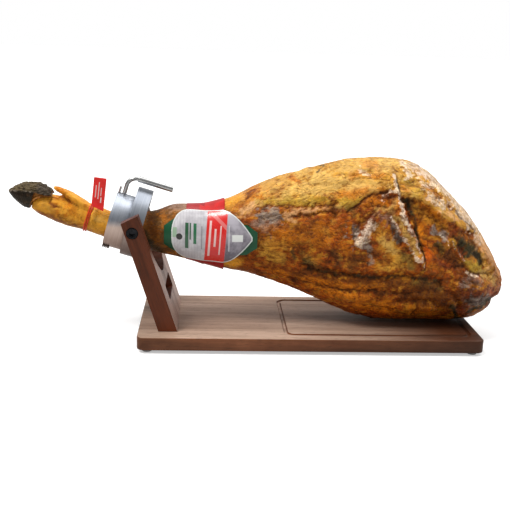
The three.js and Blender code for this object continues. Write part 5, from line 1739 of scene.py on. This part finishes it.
class HAMSTAND_OT_wrappings(bpy.types.Operator):
    """Make the ribbon, the green backing and the card on the leg"""

    bl_idname = "hamstand.wrappings"
    bl_label = "Ribbon, backing and card"

    def execute(self, context):
        colours = context.scene.ham_colours
        self.reach = skin_reader()
        deep_red = tuple(0.75 * tone for tone in colours.red)
        red = film_finish("red_ribbon_film", deep_red, (0.30, 0.008, 0.010))
        for name, start, end, stand, flare, shade_share, nodes in (
            ("ribbon_under", 67.0, 92.0, 0.3, 0.3, 0.75, ()),
            ("ribbon_over", 86.0, 121.0, 0.6, 1.3, 0.0, ("ribbon",)),
        ):
            band = self.band(name, start, end, stand, flare)
            # painted shade: darker where the band faces down, and all over the lower ribbon
            under = 0.8 * smooth_step(0.1, -0.7, read_normals(band.data)[:, 2])
            store_masks(band.data, "zones", np.maximum(under, shade_share))
            finish_piece(band, red, "clamp", "red_film", *nodes)
        green = film_finish("green_backing_film", tuple(colours.green), (0.004, 0.035, 0.02), 0.32)
        backing = self.patch(
            "label_backing_film", 35.0, 169.0, 1.5, 0.0004, self.backing_span,
            lambda u: 3.0 - 7.0 * u * u, 70, 50,
        )
        store_masks(backing.data, "zones")
        finish_piece(backing, green, "clamp", "green_film", "label_backing")
        card = self.patch(
            "label_shield", 46.0, 162.0, 2.3, 0.0007, self.card_span,
            lambda u: 5.0 + 10.0 * u - 15.7 * u * u, 110, 70,
        )
        finish_piece(card, card_finish(), "clamp", "label_card", "label_card")
        return {"FINISHED"}

    def on_skin(self, x, angle, stand):
        """A point `stand` millimetres off the skin, along the leg at x and round it at an angle."""
        centre = placed(x, 0.0, leg_middle(x))
        direction = leg_direction(angle)
        return self.reach(centre, direction) + direction * (stand * MM)

    def band(self, name, start, end, stand, flare):
        """A closed ribbon; its edge towards the butt stands proud above and below the card."""

        def place(u, v):
            angle = 2.0 * math.pi * u
            x = start + (end - start) * v + 1.6 * math.sin(3.0 * angle + start) * (v - 0.4)
            aside = smooth_step(0.65, 1.1, abs(math.remainder(angle, 2.0 * math.pi)))
            rumple = 0.5 * math.sin(7.0 * angle + 4.0 * v) * v
            lift = stand + aside * (flare * v**2 + rumple)
            return self.on_skin(x, angle, lift), (x * MM, angle * 0.04)

        return wrapped_sheet(name, 160, 14, place, 0.0003)

    def patch(self, name, start, end, stand, thickness, span, turned, columns, rows):
        """A sheet on the near side: span(u) is its half angle round the leg, turned(u) its middle's."""

        def place(u, v):
            eased = 0.5 - 0.5 * math.cos(math.pi * u)
            x = start + (end - start) * eased
            half = math.radians(span(eased))
            angle = half * (2.0 * v - 1.0)
            point = self.on_skin(x, math.radians(turned(eased)) + angle, stand)
            radius = (point - placed(x, 0.0, leg_middle(x))).length
            return point, ((x - start) * MM, angle * radius)

        return wrapped_sheet(name, columns, rows, place, thickness)

    @staticmethod
    def backing_span(u):
        """Half the angle that the backing covers, in degrees: a tapering band with cut corners."""
        return (40.0 - 18.0 * u) * (0.55 + 0.45 * min(1.0, 9.0 * u, 9.0 * (1.0 - u)))

    @staticmethod
    def card_span(u):
        """Half the angle that the card covers, in degrees: a shield, round at its left end."""
        round_end, taper = 0.2, 0.62
        widest = 54.0 - 6.0 * smooth_step(round_end, taper, u)
        if u < round_end:
            return 8.0 + (widest - 8.0) * math.sqrt(1.0 - (1.0 - u / round_end) ** 2)
        if u < taper:
            return widest
        return 2.5 + (widest - 2.5) * (1.0 - ((u - taper) / (1.0 - taper)) ** 1.5)


class HAMSTAND_OT_tag(bpy.types.Operator):
    """Make the red tag and the tie that holds it to the shank"""

    bl_idname = "hamstand.tag"
    bl_label = "Tag and tie"

    def execute(self, context):
        colours = context.scene.ham_colours
        bright = tuple(min(1.4 * tone, 1.0) for tone in colours.red)
        red = film_finish("red_tag_plastic", bright, (0.85, 0.72, 0.70), 0.2)
        plate = self.plate()
        finish_piece(plate, red, "clamp", "red_film", "tag")
        tie = film_finish("red_tie_plastic", (0.72, 0.05, 0.012), (0.3, 0.01, 0.01), 0.3)
        self.reach = skin_reader()
        for turn in range(2):
            loop = self.loop(f"tag_tie_{turn + 1}", -75.0 - 3.2 * turn)
            store_masks(loop.data, "zones")
            finish_piece(loop, tie, "clamp", "red_film", f"tag_strap_{turn + 1}")
        return {"FINISHED"}

    @staticmethod
    def plate():
        """The tag, slightly bowed, with plain lines of print on its near face."""
        width, height, thick, slant, lean = 18.0, 48.5, 1.2, 6.0, math.radians(6.5)
        plate = block(Vector((-width / 2, 0, 0)) * MM, Vector((width / 2, thick, height)) * MM)
        named(plate, "tag_plate")
        with editing(plate):
            pick_parts(plate, "VERT", lambda co: co.z < 0.001 and co.x < 0)
            bpy.ops.transform.translate(value=(0, 0, slant * MM))
        with editing(plate, "EDGE"):
            pick_parts(plate, "EDGE", lambda a, b: abs(a.y - b.y) > 0.0005)
            bpy.ops.mesh.bevel(offset=0.0016, segments=4, affect="EDGES")
        ease_edges(plate, 0.0003, 2, 40.0)
        apply_modifier(plate, "REMESH", mode="VOXEL", voxel_size=0.0004)
        points = read_points(plate.data) / MM
        x, y, z = points.T
        lines = [(-4.4, 19.0, 37.0), (-0.6, 17.0, 42.0), (2.8, 22.0, 34.0), (3.6, 12.0, 20.0)]
        half_line = 0.6
        print_mask = np.zeros(len(x))
        for middle, low, high in lines:
            line = (np.abs(x - middle) < half_line) * (z > low) * (z < high)
            print_mask = np.maximum(print_mask, line)
        store_masks(plate.data, "zones", 0.9 * print_mask * (y < thick / 2))
        points[:, 1] += 0.8 * np.sin(z / height * math.pi) + 0.02 * (x / 8.0) ** 2 * z / 10.0
        write_points(plate.data, points * MM)
        foot = placed(-62.0, -18.0 - thick, 164.0)
        plate.matrix_world = Matrix.Translation(foot) @ Matrix.Rotation(lean, 4, "Y")
        shade(settled(plate), 50.0)
        return plate

    def loop(self, name, x):
        """One turn of the tie: a ring whose points are laid on the shank."""
        thickness, tilt, minor = 1.05, math.radians(18.0), 0.2
        bpy.ops.mesh.primitive_torus_add(
            major_radius=1.0, minor_radius=minor, major_segments=120, minor_segments=12
        )
        piece = named(bpy.context.object, name)
        centre = placed(x, 0.0, 150.0)
        up = Vector((math.sin(tilt), 0, math.cos(tilt)))
        forward = Vector((up.z, 0, -up.x))
        laid = []
        for vertex in piece.data.vertices:
            angle = math.atan2(vertex.co.y, vertex.co.x)
            radial = -ACROSS * math.cos(angle) + up * math.sin(angle)
            from_ring = math.hypot(vertex.co.x, vertex.co.y) - 1.0
            skin = self.reach(centre, radial)
            lift = (from_ring / minor + 0.8) * thickness
            along = vertex.co.z / minor * thickness
            laid.append(skin + radial * (lift * MM) + forward * (along * MM))
        write_points(piece.data, np.array(laid))
        with editing(piece):
            close_up()
        shade(piece)
        return piece


# ---- the stage ----
class HAMSTAND_OT_stage(bpy.types.Operator):
    """Make the pale floor, the soft studio light and the camera"""

    bl_idname = "hamstand.stage"
    bl_label = "Stage"

    def execute(self, context):
        bpy.ops.mesh.primitive_plane_add(size=60.0)
        floor = named(bpy.context.object, "floor")
        material, tree, shader = new_finish("pale_floor")
        seen = add_node(tree, "ShaderNodeLightPath").outputs
        plain = mix(tree, seen["Is Camera Ray"], (0.45, 0.45, 0.45), (0.72, 0.72, 0.72))
        plain = mix(tree, seen["Is Glossy Ray"], plain, (0.50, 0.50, 0.50))
        glow = times(tree, seen["Is Camera Ray"], 0.45)
        join_finish(
            tree, shader, Base_Color=plain, Roughness=1.0, Specular_IOR_Level=0.0,
            Emission_Color=(1.0, 1.0, 1.0), Emission_Strength=glow,
        )
        floor.data.materials.append(material)
        self.world(context.scene)
        self.sun("key", (-0.62, -0.32, 1.15), 2.4, 20.0, (1.0, 0.985, 0.96))
        self.sun("top", (0.28, 0.25, 1.0), 1.6, 60.0, (1.0, 1.0, 1.0))
        self.sun("side", (1.0, -0.05, 0.45), 0.5, 50.0, (1.0, 0.99, 0.97))
        self.camera(context.scene)
        context.scene.view_settings.view_transform = "Standard"
        return {"FINISHED"}

    @staticmethod
    def world(scene):
        """White where the camera sees it, softer as light, and darker near the horizon as a gleam."""
        world = bpy.data.worlds.new("studio")
        scene.world = world
        world.use_nodes = True
        tree = world.node_tree
        tree.nodes.clear()
        seen = add_node(tree, "ShaderNodeLightPath").outputs
        _, back, rise = parts_of(tree, add_node(tree, "ShaderNodeTexCoord").outputs["Generated"])
        gleam = remap(tree, rise, 0.0, 0.8, 0.08, 0.48)
        gleam = maths(tree, "ADD", gleam, remap(tree, back, 0.1, 0.9, 0.0, 0.25))
        strength = mix(tree, seen["Is Glossy Ray"], (0.36, 0.36, 0.36), gleam)
        strength = mix(tree, seen["Is Camera Ray"], strength, (1.0, 1.0, 1.0))
        background = add_node(tree, "ShaderNodeBackground", {"Color": strength, "Strength": 1.0})
        add_node(tree, "ShaderNodeOutputWorld", {"Surface": background.outputs[0]})

    @staticmethod
    def sun(name, towards, strength, softness, colour):
        """A large soft lamp, far away in the direction `towards`."""
        light = bpy.data.lights.new(name, "SUN")
        light.angle = math.radians(softness)
        light.energy = strength
        light.color = colour
        lamp = bpy.data.objects.new(name, light)
        bpy.context.scene.collection.objects.link(lamp)
        lamp.rotation_euler = Vector(towards).to_track_quat("Z", "Y").to_euler()

    @staticmethod
    def camera(scene):
        """A camera a little to the left and above, looking down at the leg; angles in radians."""
        yaw, pitch, roll, lens = 0.0606, 0.2587, 0.0317, 57.06
        eye = Vector((-0.0822, -1.1737, 0.4318))
        forward = Vector((
            math.sin(yaw) * math.cos(pitch), math.cos(yaw) * math.cos(pitch), -math.sin(pitch)
        ))
        right = Vector((math.cos(yaw), -math.sin(yaw), 0.0))
        up = right.cross(forward)
        rolled_right = right * math.cos(roll) + up * math.sin(roll)
        rolled_up = up * math.cos(roll) - right * math.sin(roll)
        camera = bpy.data.objects.new("camera", bpy.data.cameras.new("camera"))
        scene.collection.objects.link(camera)
        turn = Matrix((rolled_right, rolled_up, -forward)).transposed().to_4x4()
        camera.matrix_world = Matrix.Translation(eye) @ turn
        camera.data.lens = lens
        camera.data.sensor_width = 36.0
        scene.camera = camera


# ---- the add-on ----
PIECES = (
    HAMSTAND_OT_board, HAMSTAND_OT_feet, HAMSTAND_OT_post, HAMSTAND_OT_bolts, HAMSTAND_OT_rings,
    HAMSTAND_OT_screw, HAMSTAND_OT_ham, HAMSTAND_OT_claws, HAMSTAND_OT_wrappings, HAMSTAND_OT_tag,
    HAMSTAND_OT_stage,
)


class HAMSTAND_PT_panel(bpy.types.Panel):
    """Sizes, colours and pieces of the ham stand"""

    bl_idname = "HAMSTAND_PT_panel"
    bl_label = "Ham stand"
    bl_space_type = "VIEW_3D"
    bl_region_type = "UI"
    bl_category = "Ham stand"

    def draw(self, context):
        layout = self.layout
        for settings in (context.scene.ham_sizes, context.scene.ham_colours):
            box = layout.box()
            for name in settings.__annotations__:
                box.prop(settings, name)
        for piece in PIECES:
            layout.operator(piece.bl_idname)


CLASSES = (HamStandSizes, HamStandColours, *PIECES, HAMSTAND_PT_panel)


def register():
    for cls in CLASSES:
        bpy.utils.register_class(cls)
    bpy.types.Scene.ham_sizes = PointerProperty(type=HamStandSizes)
    bpy.types.Scene.ham_colours = PointerProperty(type=HamStandColours)


def unregister():
    del bpy.types.Scene.ham_colours
    del bpy.types.Scene.ham_sizes
    for cls in reversed(CLASSES):
        bpy.utils.unregister_class(cls)


def main():
    register()
    make_shared_effects()
    for piece in PIECES:
        group, name = piece.bl_idname.split(".")
        getattr(getattr(bpy.ops, group), name)()
    bpy.context.view_layer.update()


if __name__ == "__main__":
    main()
